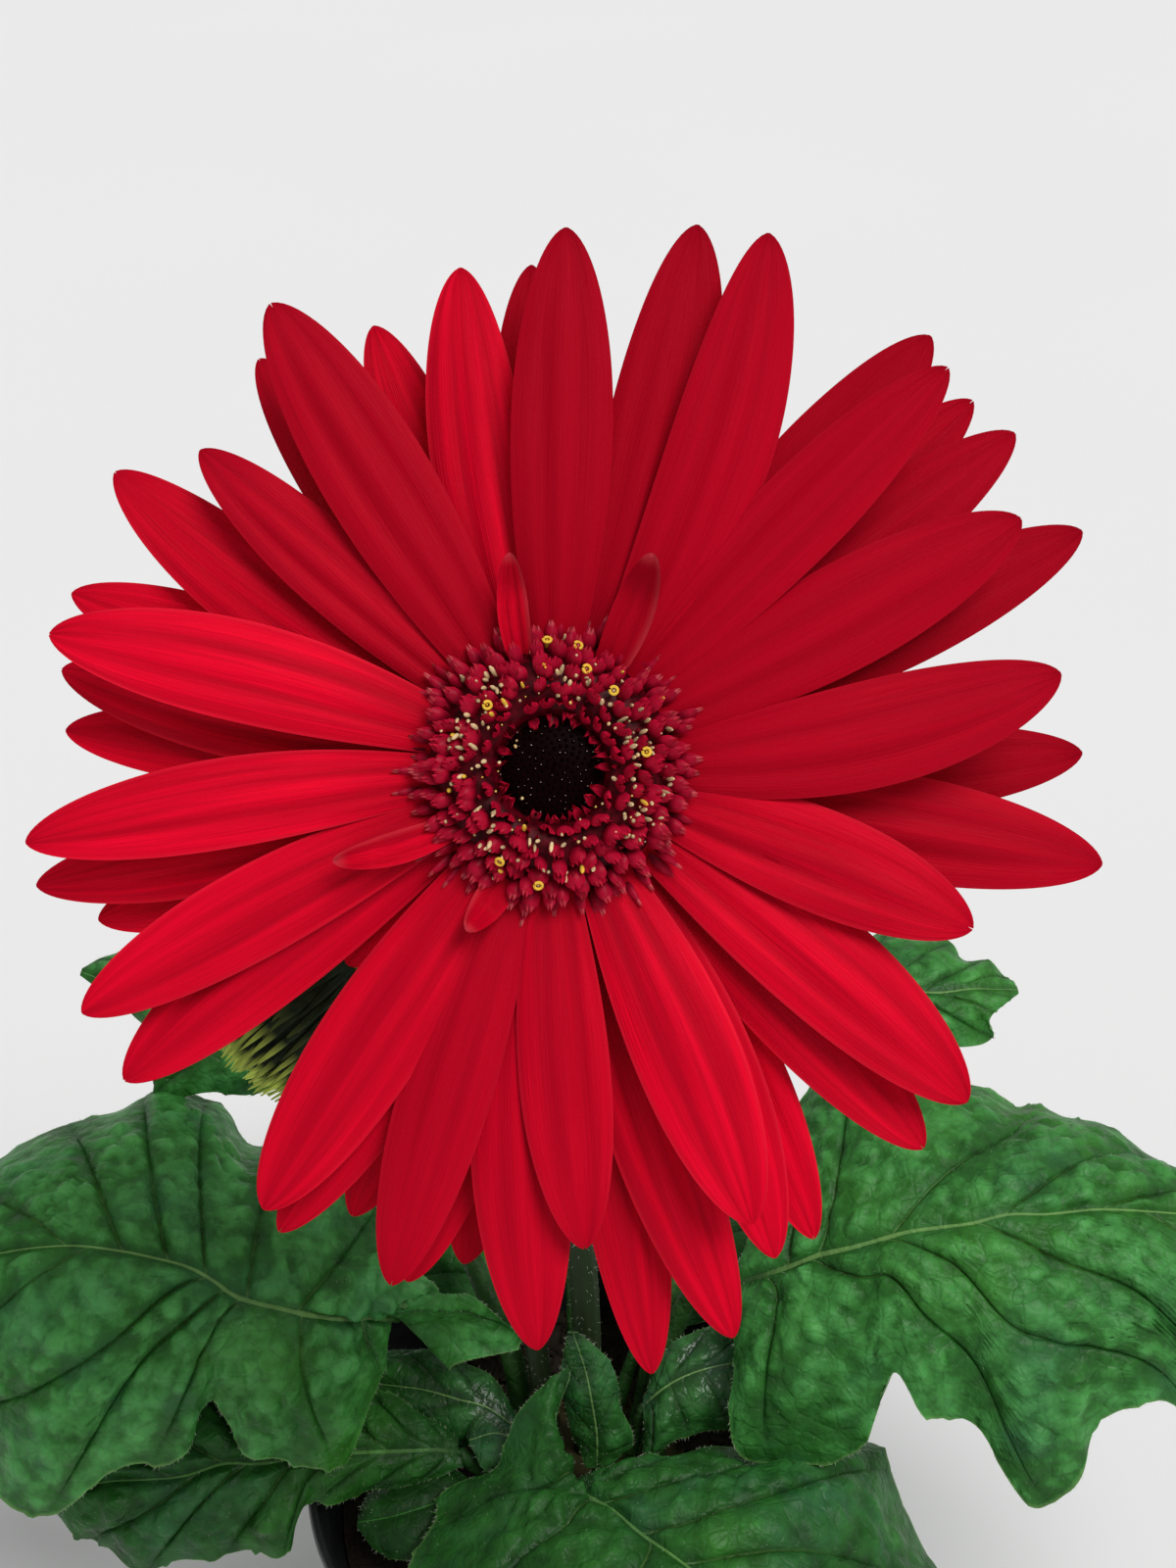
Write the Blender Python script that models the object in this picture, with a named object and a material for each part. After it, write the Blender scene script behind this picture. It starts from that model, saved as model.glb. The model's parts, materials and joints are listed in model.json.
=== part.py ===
"""A potted gerbera: a dark nursery pot of soil, a crown with lobed leaves, a red bloom and a nodding bud.

The pot stands on the ground plane, its base centred on the origin. The bloom faces the front, -Y, and up.
"""

import math
import random

import bmesh
import bpy
from mathutils import Matrix, Vector

MM = 0.001
CLEARANCE = 0.3 * MM

# Pot: a tapered plastic pot with a banded rim that is stepped outwards
POT_HEIGHT = 92 * MM
RIM_RADIUS = 49 * MM
RIM_BAND = 12 * MM
RIM_STEP = 1.8 * MM
BASE_RADIUS = 34 * MM
RIM_ROUND = 0.8 * MM
BAND_UNDERSIDE = 0.6 * MM
WALL = 1.6 * MM
FLOOR = 2.0 * MM
POT_SIDES = 32
DRAIN_HOLES = 6
DRAIN_RADIUS = 4 * MM
DRAIN_RING = 24 * MM
DRAIN_TURN = 30

# Soil and crown
SOIL_TOP = 81 * MM
SOIL_SWELL = 2.0 * MM
SOIL_LUMP = 0.8 * MM
CROWN_TOP = 88 * MM
CROWN_RADIUS = 18 * MM
CROWN_DEPTH = 15 * MM
SOCKET_DEPTH = 5 * MM
STRAIGHT_RUN = 5 * MM

# Bloom: where its centre is, and how far its face looks up
BLOOM_CENTRE = Vector((-3.5, -45, 270)) * MM
BLOOM_LIFT = math.radians(35)
PETAL_THICK = 0.7 * MM
PETAL_STATIONS = (0, 0.26, 0.5, 0.73, 0.9, 0.985)
ROOT_RADIUS = 9 * MM
# Height of the root above the bloom's centre, and rise of the petal in degrees, for tier 0, the back, to 4
TIER_ROOT = (-1.4 * MM, -0.6 * MM, 0.2 * MM, 1.0 * MM, 1.5 * MM)
TIER_RISE = (-4, 1, 6, 11, 19)
PETAL_DROOP = 0.06
PETAL_ARCH = 0.16
# The reaches below are as seen from this far in front of the bloom
VIEW_DISTANCE = 225 * MM

# Ray petals, clockwise from the top, as (direction of the tip in degrees counter-clockwise from the right,
# reach of the tip from the bloom's centre in mm, direction of the root in degrees, half width in mm, tier)
RAYS = (
    (88.4, 59.2, 88, 5.5, 3),
    (75.0, 61.6, 70, 5.6, 2),
    (67.9, 63.2, 56, 5.7, 3),
    (48.8, 62.9, 48, 5.5, 2),
    (45.3, 61.7, 46, 5.0, 3),
    (41.3, 61.1, 41, 5.0, 0),
    (36.0, 62.5, 35, 5.3, 1),
    (28.0, 58.2, 27, 5.8, 3),
    (24.2, 63.5, 22, 5.3, 1),
    (10.6, 56.7, 2, 5.8, 3),
    (1.8, 57.9, -2, 5.0, 0),
    (-9.8, 61.0, -9, 5.9, 1),
    (-20.8, 49.3, -17, 5.6, 3),
    (-38.7, 58.2, -33, 6.0, 2),
    (-45.6, 58.0, -43, 5.3, 1),
    (-60.9, 58.7, -54, 4.6, 0),
    (-65.5, 58.7, -58, 5.0, 1),
    (-66.2, 54.4, -63, 5.8, 3),
    (-72.3, 65.2, -76, 5.2, 1),
    (-80.7, 66.9, -80, 4.9, 0),
    (-86.0, 52.6, -89, 5.0, 3),
    (-91.4, 63.5, -98, 5.7, 2),
    (-100.2, 54.9, -99, 5.0, 0),
    (-105.8, 58.2, -103, 5.0, 1),
    (-107.2, 59.1, -109, 5.0, 3),
    (-114.2, 53.5, -113, 4.8, 0),
    (-120.5, 58.7, -116, 4.5, 2),
    (-123.1, 57.5, -124, 5.7, 3),
    (-143.9, 57.8, -149, 5.3, 2),
    (-152.5, 57.8, -156, 5.0, 3),
    (-161.7, 52.3, -160, 4.7, 0),
    (-167.3, 57.8, -165, 4.6, 1),
    (-172.0, 58.0, -176, 4.9, 3),
    (175.4, 53.4, 176, 4.6, 0),
    (168.5, 54.7, 172, 4.8, 1),
    (165.0, 56.8, 160, 5.5, 3),
    (159.9, 56.0, 158, 4.8, 0),
    (145.8, 57.8, 152, 5.3, 1),
    (137.8, 51.9, 138, 4.4, 2),
    (125.6, 55.2, 127, 4.6, 0),
    (121.1, 59.4, 121, 5.9, 3),
    (112.0, 52.3, 113, 4.7, 0),
    (100.3, 55.7, 106, 5.3, 2),
    (92.4, 55.2, 95, 4.5, 0),
    (-154.4, 25.5, -166, 1.9, 4),
    (64.8, 25.7, 60, 2.8, 4),
    (100.7, 23.7, 106, 1.7, 4),
    (-117.5, 19.7, -112, 1.9, 4),
)

# Florets round the eye, as (ring radius in mm, number, length in mm, lean outwards in degrees from upright,
# half width in mm)
FLORET_ROWS = (
    (7.0, 14, 3.4, -22, 1.1),
    (8.6, 18, 3.6, 2, 1.15),
    (10.2, 22, 3.6, 26, 1.1),
    (11.5, 24, 4.2, 50, 1.05),
    (12.0, 28, 5.0, 72, 0.9),
)
LIP_THICK = 0.7 * MM
LIP_CURL = 0.5 * MM
EYE_RADIUS = 5.5 * MM
EYE_FOOT = 2.3 * MM
EYE_SHOULDER = 3.8 * MM
EYE_TOP = 4.9 * MM
EYE_BUMP = 0.35 * MM
BRACT_THICK = 0.7 * MM

# Leaves. The foot is (distance from the crown's centre in mm, direction in degrees). Via is where the stalk
# then runs, and a row of the blade is a point of its left margin, of its rib and of its right margin as it
# grows, all in mm from the pot's base
LEAF_THICK = 0.8 * MM
RIB_DEPTH = 1.4 * MM
STALK_RADIUS = 2.1 * MM
YOUNG_STALK_RADIUS = 1.5 * MM
YOUNG_ROWS = 7
STALK_ROWS = 4
CAMBER = 0.13
QUILT = 0.7 * MM
QUILT_REACH = 20 * MM
LEAVES = {
    "leaf_right": {
        "foot": (12, 4), "via": ((13, 9, 99), (17, 15, 112), (22, 14, 121)),
        "rows": (
            ((26, 12, 127), (26, 9, 126), (25, 6, 124)),
            ((34, 26, 134), (34, 8, 131), (25, -2, 117)),
            ((39, 42, 138), (39, 8, 134), (27, -12, 106)),
            ((45, 51, 140), (44, 7, 137), (42, -13, 110)),
            ((55, 54, 139), (49, 7, 139), (49, -8, 125)),
            ((63, 51, 138), (54, 7, 141), (56, -13, 119)),
            ((70, 46, 137), (59, 7, 142), (65, -13, 116)),
            ((77, 43, 136), (64, 7, 143), (74, -20, 104)),
            ((82, 41, 136), (70, 8, 144), (81, -17, 109)),
            ((89, 39, 136), (77, 9, 143), (86, -12, 117)),
            ((98, 34, 134), (86, 11, 142), (96, -10, 119)),
            ((110, 29, 131), (99, 13, 139), (112, -12, 104)),
            ((120, 25, 127), (111, 15, 135), (120, -5, 110)),
            ((130, 21, 124), (125, 18, 128), (130, 6, 114)),
            ((141, 18, 118), (141, 17, 118), (141, 16, 118)),
        ),
    },
    "leaf_left": {
        "foot": (12, 175), "via": ((-19, 6, 98), (-28, 16, 108), (-32, 14, 113)),
        "rows": (
            ((-35, 7, 117), (-33, 9, 118), (-31, 11, 118)),
            ((-34, -2, 116), (-34, 5, 122), (-11, 8, 112)),
            ((-38, -8, 111), (-37, 2, 126), (-20, 10, 121)),
            ((-40, -12, 105), (-40, -1, 129), (-28, 7, 125)),
            ((-49, -13, 107), (-44, -3, 132), (-35, 6, 127)),
            ((-55, -14, 110), (-47, -4, 134), (-40, 7, 128)),
            ((-59, -12, 114), (-50, -4, 135), (-33, 22, 126)),
            ((-61, -11, 121), (-53, -4, 136), (-38, 35, 128)),
            ((-64, -13, 117), (-57, -4, 138), (-50, 39, 130)),
            ((-68, -17, 112), (-60, -3, 140), (-59, 37, 131)),
            ((-78, -17, 111), (-64, -1, 141), (-66, 43, 133)),
            ((-88, -20, 102), (-69, 0, 142), (-72, 46, 136)),
            ((-98, -16, 103), (-76, 1, 143), (-80, 43, 137)),
            ((-105, -9, 108), (-85, 3, 142), (-90, 38, 136)),
            ((-116, -9, 102), (-97, 5, 138), (-106, 32, 132)),
            ((-122, 0, 109), (-110, 7, 131), (-119, 25, 127)),
            ((-134, 9, 115), (-134, 10, 115), (-134, 11, 115)),
        ),
    },
    "leaf_front": {
        "foot": (12, 284), "via": (),
        "rows": (
            ((-1, -13, 103), (-2, -14, 103), (-3, -14, 103)),
            ((5, -12, 105), (-1, -16, 104), (-5, -6, 117)),
            ((11, -10, 104), (0, -18, 105), (-11, -6, 109)),
            ((17, -8, 103), (2, -20, 106), (-16, -11, 102)),
            ((27, -6, 101), (5, -22, 106), (-25, -14, 99)),
            ((38, -4, 99), (9, -26, 106), (-25, -19, 98)),
            ((44, -4, 98), (14, -30, 106), (-30, -26, 96)),
            ((49, -9, 95), (20, -35, 105), (-30, -38, 95)),
            ((60, -16, 83), (27, -42, 103), (-20, -42, 96)),
            ((60, -32, 90), (34, -51, 100), (-16, -56, 94)),
            ((72, -50, 79), (42, -63, 94), (-10, -70, 84)),
            ((66, -66, 80), (49, -75, 86), (12, -68, 91)),
            ((68, -80, 69), (55, -87, 77), (16, -86, 78)),
            ((66, -94, 64), (60, -96, 67), (42, -96, 68)),
            ((63, -103, 58), (62, -103, 58), (61, -103, 58)),
        ),
    },
    "leaf_front_left": {
        "foot": (12, 215), "via": (),
        "rows": (
            ((-21, -7, 98), (-22, -5, 99), (-22, -3, 100)),
            ((-29, -10, 97), (-26, -6, 101), (-28, 0, 103)),
            ((-35, -10, 96), (-32, -7, 102), (-36, 3, 105)),
            ((-42, -13, 96), (-38, -8, 103), (-44, 7, 106)),
            ((-47, -14, 97), (-44, -9, 104), (-51, 7, 107)),
            ((-51, -20, 92), (-50, -10, 104), (-57, 9, 107)),
            ((-58, -19, 91), (-55, -11, 104), (-64, 9, 107)),
            ((-67, -19, 89), (-61, -11, 104), (-70, 8, 106)),
            ((-75, -19, 86), (-68, -12, 102), (-77, 5, 105)),
            ((-83, -16, 88), (-75, -12, 101), (-83, 1, 104)),
            ((-88, -14, 90), (-82, -11, 99), (-88, -3, 102)),
            ((-93, -12, 95), (-93, -11, 95), (-93, -10, 95)),
        ),
    },
    "leaf_right_back": {
        "foot": (12, 38), "via": ((15, 20, 109), (31, 50, 132)),
        "rows": (
            ((43, 64, 140), (44, 62, 140), (44, 59, 139)),
            ((51, 72, 146), (49, 60, 145), (51, 53, 142)),
            ((59, 76, 149), (54, 58, 148), (59, 51, 143)),
            ((67, 72, 150), (60, 57, 150), (68, 50, 143)),
            ((71, 67, 150), (65, 57, 150), (75, 53, 142)),
            ((76, 66, 149), (71, 58, 150), (74, 54, 146)),
            ((79, 63, 148), (75, 59, 149), (77, 56, 148)),
            ((80, 61, 148), (80, 60, 148), (80, 59, 148)),
        ),
    },
    "leaf_left_back": {
        "foot": (12, 150), "via": ((-15, 15, 108), (-34, 44, 130)),
        "rows": (
            ((-48, 52, 138), (-48, 54, 138), (-48, 56, 139)),
            ((-55, 46, 137), (-53, 53, 142), (-56, 62, 144)),
            ((-61, 44, 137), (-59, 52, 145), (-64, 64, 148)),
            ((-68, 43, 138), (-65, 51, 147), (-70, 66, 150)),
            ((-78, 43, 138), (-71, 51, 148), (-76, 67, 151)),
            ((-76, 46, 145), (-77, 53, 149), (-82, 67, 152)),
            ((-81, 52, 147), (-83, 57, 150), (-87, 67, 152)),
            ((-94, 63, 149), (-94, 64, 149), (-94, 65, 149)),
        ),
    },
    "leaf_back": {
        "foot": (12, 94), "via": ((-2, 30, 112),),
        "rows": (
            ((-6, 41, 123), (-3, 41, 124), (0, 41, 123)),
            ((-22, 48, 124), (-4, 48, 128), (15, 47, 123)),
            ((-16, 56, 130), (-5, 56, 131), (8, 55, 129)),
            ((-38, 74, 122), (-6, 65, 133), (27, 72, 120)),
            ((-26, 84, 128), (-7, 78, 132), (14, 82, 127)),
            ((-38, 100, 112), (-8, 90, 128), (22, 98, 112)),
            ((-22, 110, 114), (-8, 103, 121), (8, 108, 114)),
            ((-9, 124, 102), (-8, 124, 102), (-7, 124, 102)),
        ),
    },
    "leaf_mid_left": {
        "foot": (12, 122), "via": (),
        "rows": (
            ((-11, 18, 100), (-10, 20, 100), (-8, 21, 100)),
            ((-23, 23, 103), (-14, 28, 104), (-3, 31, 104)),
            ((-34, 29, 103), (-18, 37, 107), (-3, 43, 105)),
            ((-29, 38, 104), (-22, 47, 107), (-9, 50, 105)),
            ((-41, 48, 99), (-26, 58, 103), (-11, 63, 99)),
            ((-30, 72, 94), (-31, 72, 94), (-32, 72, 94)),
        ),
    },
    "leaf_mid_right": {
        "foot": (12, 66), "via": (),
        "rows": (
            ((8, 22, 100), (10, 20, 100), (11, 18, 100)),
            ((5, 32, 104), (15, 27, 104), (24, 21, 104)),
            ((9, 45, 105), (21, 35, 107), (35, 25, 105)),
            ((16, 48, 106), (27, 43, 107), (34, 36, 106)),
            ((22, 62, 99), (34, 51, 104), (46, 42, 101)),
            ((42, 61, 96), (42, 60, 96), (42, 59, 96)),
        ),
    },
    "leaf_low_left": {
        "foot": (12, 243), "via": (),
        "rows": (
            ((-15, -13, 93), (-16, -12, 94), (-17, -10, 94)),
            ((-20, -19, 92), (-22, -12, 96), (-25, -5, 96)),
            ((-28, -21, 92), (-28, -14, 96), (-32, -7, 95)),
            ((-34, -20, 91), (-33, -15, 95), (-37, -9, 94)),
            ((-39, -15, 92), (-39, -14, 92), (-39, -13, 92)),
        ),
    },
    "leaf_young_left": {
        "foot": (7, 208), "via": (),
        "rows": (
            ((-11, -3, 99), (-11, -1, 99), (-11, 1, 99)),
            ((-18, -2, 99), (-17, 2, 102), (-16, 7, 103)),
            ((-22, -2, 96), (-22, 3, 103), (-22, 8, 104)),
            ((-30, 1, 99), (-28, 5, 103), (-28, 9, 104)),
            ((-36, 3, 100), (-34, 6, 103), (-35, 10, 104)),
            ((-42, 7, 102), (-42, 8, 102), (-42, 9, 102)),
        ),
    },
    "leaf_young_front_left": {
        "foot": (7, 262), "via": (),
        "rows": (
            ((-6, -9, 96), (-7, -8, 97), (-8, -7, 97)),
            ((-9, -11, 98), (-11, -6, 102), (-14, -2, 100)),
            ((-16, -9, 98), (-15, -4, 103), (-17, -2, 103)),
            ((-20, -5, 101), (-20, -4, 101), (-20, -3, 101)),
        ),
    },
    "leaf_young_centre": {
        "foot": (3.5, 320), "via": (),
        "rows": (
            ((0, -8, 99), (2, -8, 99), (4, -8, 99)),
            ((-2, -4, 103), (2, -6, 105), (8, -5, 102)),
            ((-4, -2, 111), (1, -4, 113), (8, -2, 109)),
            ((-4, 0, 118), (0, -2, 119), (5, 0, 119)),
            ((-2, 0, 127), (-1, 0, 127), (0, 0, 127)),
        ),
    },
    "leaf_young_right": {
        "foot": (7.5, 345), "via": (),
        "rows": (
            ((10, 1, 106), (10, 0, 105), (10, -2, 104)),
            ((15, 7, 113), (14, 1, 109), (11, -7, 98)),
            ((20, 9, 114), (18, 2, 111), (16, -4, 102)),
            ((26, 10, 114), (23, 3, 112), (21, -4, 103)),
            ((32, 10, 113), (29, 4, 112), (27, -3, 104)),
            ((37, 10, 111), (34, 5, 110), (34, 0, 104)),
            ((41, 8, 108), (41, 7, 108), (41, 6, 108)),
        ),
    },
}

# Flower stalks
SCAPE_RADIUS = 2.6 * MM
SCAPE_SIDES = 8
SCAPE_POINTS = 20
HEAD_LEAD = 9 * MM
SCAPE_FOOT = (0.5, 5)
SCAPE_ROUTE = ((0, 7, 120), (-2, 8, 165), (-2, 7, 210), (-2, -2, 238))
BUD_CENTRE = Vector((-38.5, -14, 209)) * MM
BUD_AXIS = Vector((-0.76, -0.26, -0.60))
BUD_SCAPE_RADIUS = 2.0 * MM
BUD_FOOT = (-5.8, 1.6)
BUD_ROUTE = ((-10, 12, 120), (-14, 19, 160), (-17, 20, 200), (-20, 10, 221))
CUP_SOCKET = -10 * MM
BUD_SOCKET = -6.5 * MM


def place(radius, degrees, height=0.0):
    """The point at this distance and direction from the local Z axis."""
    angle = math.radians(degrees)
    return Vector((radius * math.cos(angle), radius * math.sin(angle), height))


def lerp(a, b, share):
    return a + (b - a) * share


def frame_along(point, heading):
    """Axes at this point with Z along the heading."""
    return Matrix.Translation(point) @ heading.to_track_quat("Z", "Y").to_matrix().to_4x4()


class Route:
    """A smooth curve through its points, read by its share of length."""

    STEPS = 12

    def __init__(self, points):
        ends = [points[0] * 2 - points[1], *points, points[-1] * 2 - points[-2]]
        self.points = [points[0]]
        for a, b, c, d in zip(ends, ends[1:], ends[2:], ends[3:]):
            for step in range(1, self.STEPS + 1):
                t = step / self.STEPS
                near = a * (-t + 2 * t * t - t ** 3) + b * (2 - 5 * t * t + 3 * t ** 3)
                far = c * (t + 4 * t * t - 3 * t ** 3) + d * (t ** 3 - t * t)
                self.points.append((near + far) / 2)
        self.reached = [0.0]
        for a, b in zip(self.points, self.points[1:]):
            self.reached.append(self.reached[-1] + (b - a).length)
        self.length = self.reached[-1]

    def at(self, share):
        wanted = min(max(share, 0.0), 1.0) * self.length
        i = next((i for i, r in enumerate(self.reached[1:]) if r >= wanted), len(self.points) - 2)
        span = self.reached[i + 1] - self.reached[i]
        return lerp(self.points[i], self.points[i + 1], (wanted - self.reached[i]) / span)

    def heading(self, share):
        step = 0.01
        return (self.at(share + step) - self.at(share - step)).normalized()


def material(name, colour, roughness):
    made = bpy.data.materials.new(name)
    made.use_nodes = True
    shader = made.node_tree.nodes["Principled BSDF"]
    shader.inputs["Base Color"].default_value = (*colour, 1)
    shader.inputs["Roughness"].default_value = roughness
    shader.inputs["Metallic"].default_value = 0
    return made


def add_object(name, mesh, finish, frame=None):
    """An object of this mesh, shaded smooth but for its sharp edges."""
    mesh.shade_smooth()
    mesh.set_sharp_from_angle(angle=math.radians(50))
    mesh.materials.append(finish)
    made = bpy.data.objects.new(name, mesh)
    if frame:
        made.matrix_world = frame
    bpy.context.scene.collection.objects.link(made)
    return made


def mesh_of(name, points, faces):
    mesh = bpy.data.meshes.new(name)
    mesh.from_pydata([tuple(p) for p in points], [], faces)
    return mesh


def turned(name, profile, sides, ring=False):
    """A mesh turned about Z from (radius, height) points: from axis to axis, or a closed ring."""
    shape = bmesh.new()
    corners = [shape.verts.new((r, 0, z)) for r, z in profile]
    edges = [shape.edges.new(pair) for pair in zip(corners, corners[1:])]
    if ring:
        edges.append(shape.edges.new((corners[-1], corners[0])))
    bmesh.ops.spin(
        shape,
        geom=corners + edges,
        axis=(0, 0, 1),
        cent=(0, 0, 0),
        angle=math.tau,
        steps=sides,
        use_merge=True,
    )
    bmesh.ops.remove_doubles(shape, verts=shape.verts, dist=0.01 * MM)
    bmesh.ops.recalc_face_normals(shape, faces=shape.faces)
    mesh = bpy.data.meshes.new(name)
    shape.to_mesh(mesh)
    shape.free()
    return mesh


def sheet_mesh(name, top, bottom):
    """A closed sheet from two grids of points by rows and columns, split alike on both faces."""
    rows, columns = len(top), len(top[0])
    points = [p for row in top for p in row] + [p for row in bottom for p in row]
    under = rows * columns
    faces = []
    for i in range(rows - 1):
        for j in range(columns - 1):
            a = i * columns + j
            b, c, d = a + 1, a + columns + 1, a + columns
            left_half = 2 * j < columns - 1
            split = ((a, b, c), (a, c, d)) if left_half else ((a, b, d), (b, c, d))
            for face in split:
                faces.append(face)
                faces.append(tuple(under + k for k in reversed(face)))
    rim = [j for j in range(columns)]
    rim += [i * columns + columns - 1 for i in range(1, rows)]
    rim += [(rows - 1) * columns + j for j in range(columns - 2, -1, -1)]
    rim += [i * columns for i in range(rows - 2, 0, -1)]
    for a, b in zip(rim, rim[1:] + rim[:1]):
        faces.append((b, a, under + a))
        faces.append((b, under + a, under + b))
    mesh = mesh_of(name, points, faces)
    shape = bmesh.new()
    shape.from_mesh(mesh)
    bmesh.ops.recalc_face_normals(shape, faces=shape.faces)
    shape.to_mesh(mesh)
    shape.free()
    return mesh


def spike_mesh(name, line, half, thick, side, out):
    """A slim three-sided blade that runs to a point along line: root, widest place and tip."""
    points = []
    for point, share in zip(line[:2], (0.6, 1)):
        points += [point - side * half * share, point + side * half * share, point + out * thick]
    points.append(line[2])
    faces = [(0, 1, 2), (3, 6, 4), (4, 6, 5), (5, 6, 3)]
    for a, b in ((0, 1), (1, 2), (2, 0)):
        faces += [(a, a + 3, b), (b, a + 3, b + 3)]
    mesh = mesh_of(name, points, faces)
    shape = bmesh.new()
    shape.from_mesh(mesh)
    bmesh.ops.recalc_face_normals(shape, faces=shape.faces)
    shape.to_mesh(mesh)
    shape.free()
    return mesh


def fuse(body, meshes, finish):
    """Joins the meshes to body with one Boolean union, applied, in body's own frame."""
    pieces = bpy.data.collections.new(body.name + "_repeats")
    for mesh in meshes:
        piece = bpy.data.objects.new(mesh.name, mesh)
        piece.matrix_world = body.matrix_world
        pieces.objects.link(piece)
    bpy.context.scene.collection.children.link(pieces)
    union = body.modifiers.new("union", "BOOLEAN")
    union.operation = "UNION"
    union.operand_type = "COLLECTION"
    union.collection = pieces
    bpy.context.view_layer.update()
    graph = bpy.context.evaluated_depsgraph_get()
    joined = bpy.data.meshes.new_from_object(body.evaluated_get(graph))
    body.modifiers.clear()
    body.data = joined
    joined.materials.clear()
    joined.materials.append(finish)
    for piece in list(pieces.objects):
        bpy.data.objects.remove(piece)
    bpy.data.collections.remove(pieces)


def cutter(mesh, frame=None):
    """A hidden object whose shape is cut from another."""
    made = bpy.data.objects.new(mesh.name, mesh)
    if frame:
        made.matrix_world = frame
    made.hide_render = True
    made.display_type = "WIRE"
    bpy.context.scene.collection.objects.link(made)
    return made


def cylinder(name, radius, low, high, sides=10):
    return turned(name, ((0, low), (radius, low), (radius, high), (0, high)), sides)


def cut(body, tools):
    """Cuts the tools from body with one Boolean difference."""
    holes = bpy.data.collections.new(body.name + "_cutters")
    bpy.context.scene.collection.children.link(holes)
    for tool in tools:
        bpy.context.scene.collection.objects.unlink(tool)
        holes.objects.link(tool)
    difference = body.modifiers.new("holes", "BOOLEAN")
    difference.operation = "DIFFERENCE"
    difference.operand_type = "COLLECTION"
    difference.collection = holes


def build_pot(finish):
    """A tapered wall with a banded rim and a floor with drain holes."""
    shoulder = POT_HEIGHT - RIM_BAND
    draft = (RIM_RADIUS - RIM_STEP - BASE_RADIUS) / POT_HEIGHT
    outer = BASE_RADIUS + draft * shoulder
    profile = (
        (0, 0),
        (BASE_RADIUS, 0),
        (outer, shoulder),
        (outer + RIM_STEP, shoulder + BAND_UNDERSIDE),
        (RIM_RADIUS, POT_HEIGHT - RIM_ROUND),
        (RIM_RADIUS - RIM_ROUND, POT_HEIGHT),
        (RIM_RADIUS - WALL, POT_HEIGHT),
        (outer + RIM_STEP - WALL, shoulder + BAND_UNDERSIDE + RIM_STEP),
        (outer - WALL, shoulder),
        (BASE_RADIUS - WALL + draft * FLOOR, FLOOR),
        (0, FLOOR),
    )
    pot = add_object("pot", turned("pot", profile, POT_SIDES), finish)
    drains = []
    for k in range(DRAIN_HOLES):
        tool = cylinder(f"drain_{k}", DRAIN_RADIUS, -WALL, FLOOR + WALL)
        centre = place(DRAIN_RING, 360 * k / DRAIN_HOLES + DRAIN_TURN)
        drains.append(cutter(tool, Matrix.Translation(centre)))
    cut(pot, drains)
    return draft


def soil_lump(x, y):
    """Height of the soil's lumps at this place in mm, from about -1.5 to 1.5."""
    return math.sin(0.61 * x + 1.3) * math.sin(0.53 * y) + 0.6 * math.sin(0.9 * (x + y))


def build_soil(finish, draft):
    """Soil that fills the pot to below its rim, with a lumpy top and a hole for the crown."""
    rings, sides = 4, 24
    low = FLOOR + CLEARANCE
    foot = BASE_RADIUS - WALL + draft * low - CLEARANCE
    edge = BASE_RADIUS - WALL + draft * (SOIL_TOP - SOIL_SWELL) - CLEARANCE
    hole = CROWN_RADIUS + CLEARANCE
    well = CROWN_TOP - CROWN_DEPTH - CLEARANCE
    profile = [(0, low), (foot, low)]
    for k in range(rings + 1):
        share = k / rings
        profile.append((lerp(edge, hole, share), SOIL_TOP - SOIL_SWELL * (1 - share) ** 2))
    profile += [(hole, well), (0, well)]
    mesh = turned("potting_mix", profile, sides)
    for vertex in mesh.vertices:
        x, y, z = vertex.co
        if z > well + MM and hole + MM < math.hypot(x, y) < edge - MM:
            vertex.co.z += SOIL_LUMP * soil_lump(x / MM, y / MM)
    return add_object("potting_mix", mesh, finish)


def socket_line(foot, toward):
    """Where a stalk starts in the crown, a point just above the crown, and its heading there."""
    top = Vector((foot.x, foot.y, CROWN_TOP))
    heading = (toward - top).normalized()
    return top - heading * (SOCKET_DEPTH - CLEARANCE), top + heading * STRAIGHT_RUN, heading


def build_crown(finish, sockets):
    """The short root crown, with a plain hole for each stalk."""
    bottom = CROWN_TOP - CROWN_DEPTH
    profile = (
        (0, bottom),
        (0.7 * CROWN_RADIUS, bottom),
        (CROWN_RADIUS, bottom + 4 * MM),
        (CROWN_RADIUS, CROWN_TOP - 2 * MM),
        (CROWN_RADIUS - 1.5 * MM, CROWN_TOP),
        (0, CROWN_TOP),
    )
    crown = add_object("crown", turned("crown", profile, 24), finish)
    tools = []
    for k, (start, heading, radius) in enumerate(sockets):
        tool = cylinder(f"socket_{k}", radius + 2 * CLEARANCE, -CLEARANCE, 2 * SOCKET_DEPTH)
        tools.append(cutter(tool, frame_along(start, heading)))
    cut(crown, tools)


def facing(grid, i, j):
    """The way out of the grid's upper face at this point, from its neighbours."""
    along = grid[min(i + 1, len(grid) - 1)][j] - grid[max(i - 1, 0)][j]
    across = grid[i][min(j + 1, 4)] - grid[i][max(j - 1, 0)]
    return across.cross(along).normalized()


def blade_grid(spec):
    """Upper points of a blade, row by row: each half is cambered, and puffed between the veins."""
    grid = []
    run = Vector(spec["rows"][-1][1]) - Vector(spec["rows"][0][1])
    for k, row in enumerate(spec["rows"]):
        left, rib, right = (Vector(p) * MM for p in row)
        out = (right - left).cross(run).normalized()
        puff = QUILT if k % 2 else -QUILT
        halves = []
        for margin in (left, right):
            reach = (margin - rib).length
            lift = CAMBER * reach + puff * min(1, reach / QUILT_REACH)
            halves.append((rib + margin) / 2 + out * lift)
        grid.append([left, halves[0], rib, halves[1], right])
    return grid


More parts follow.
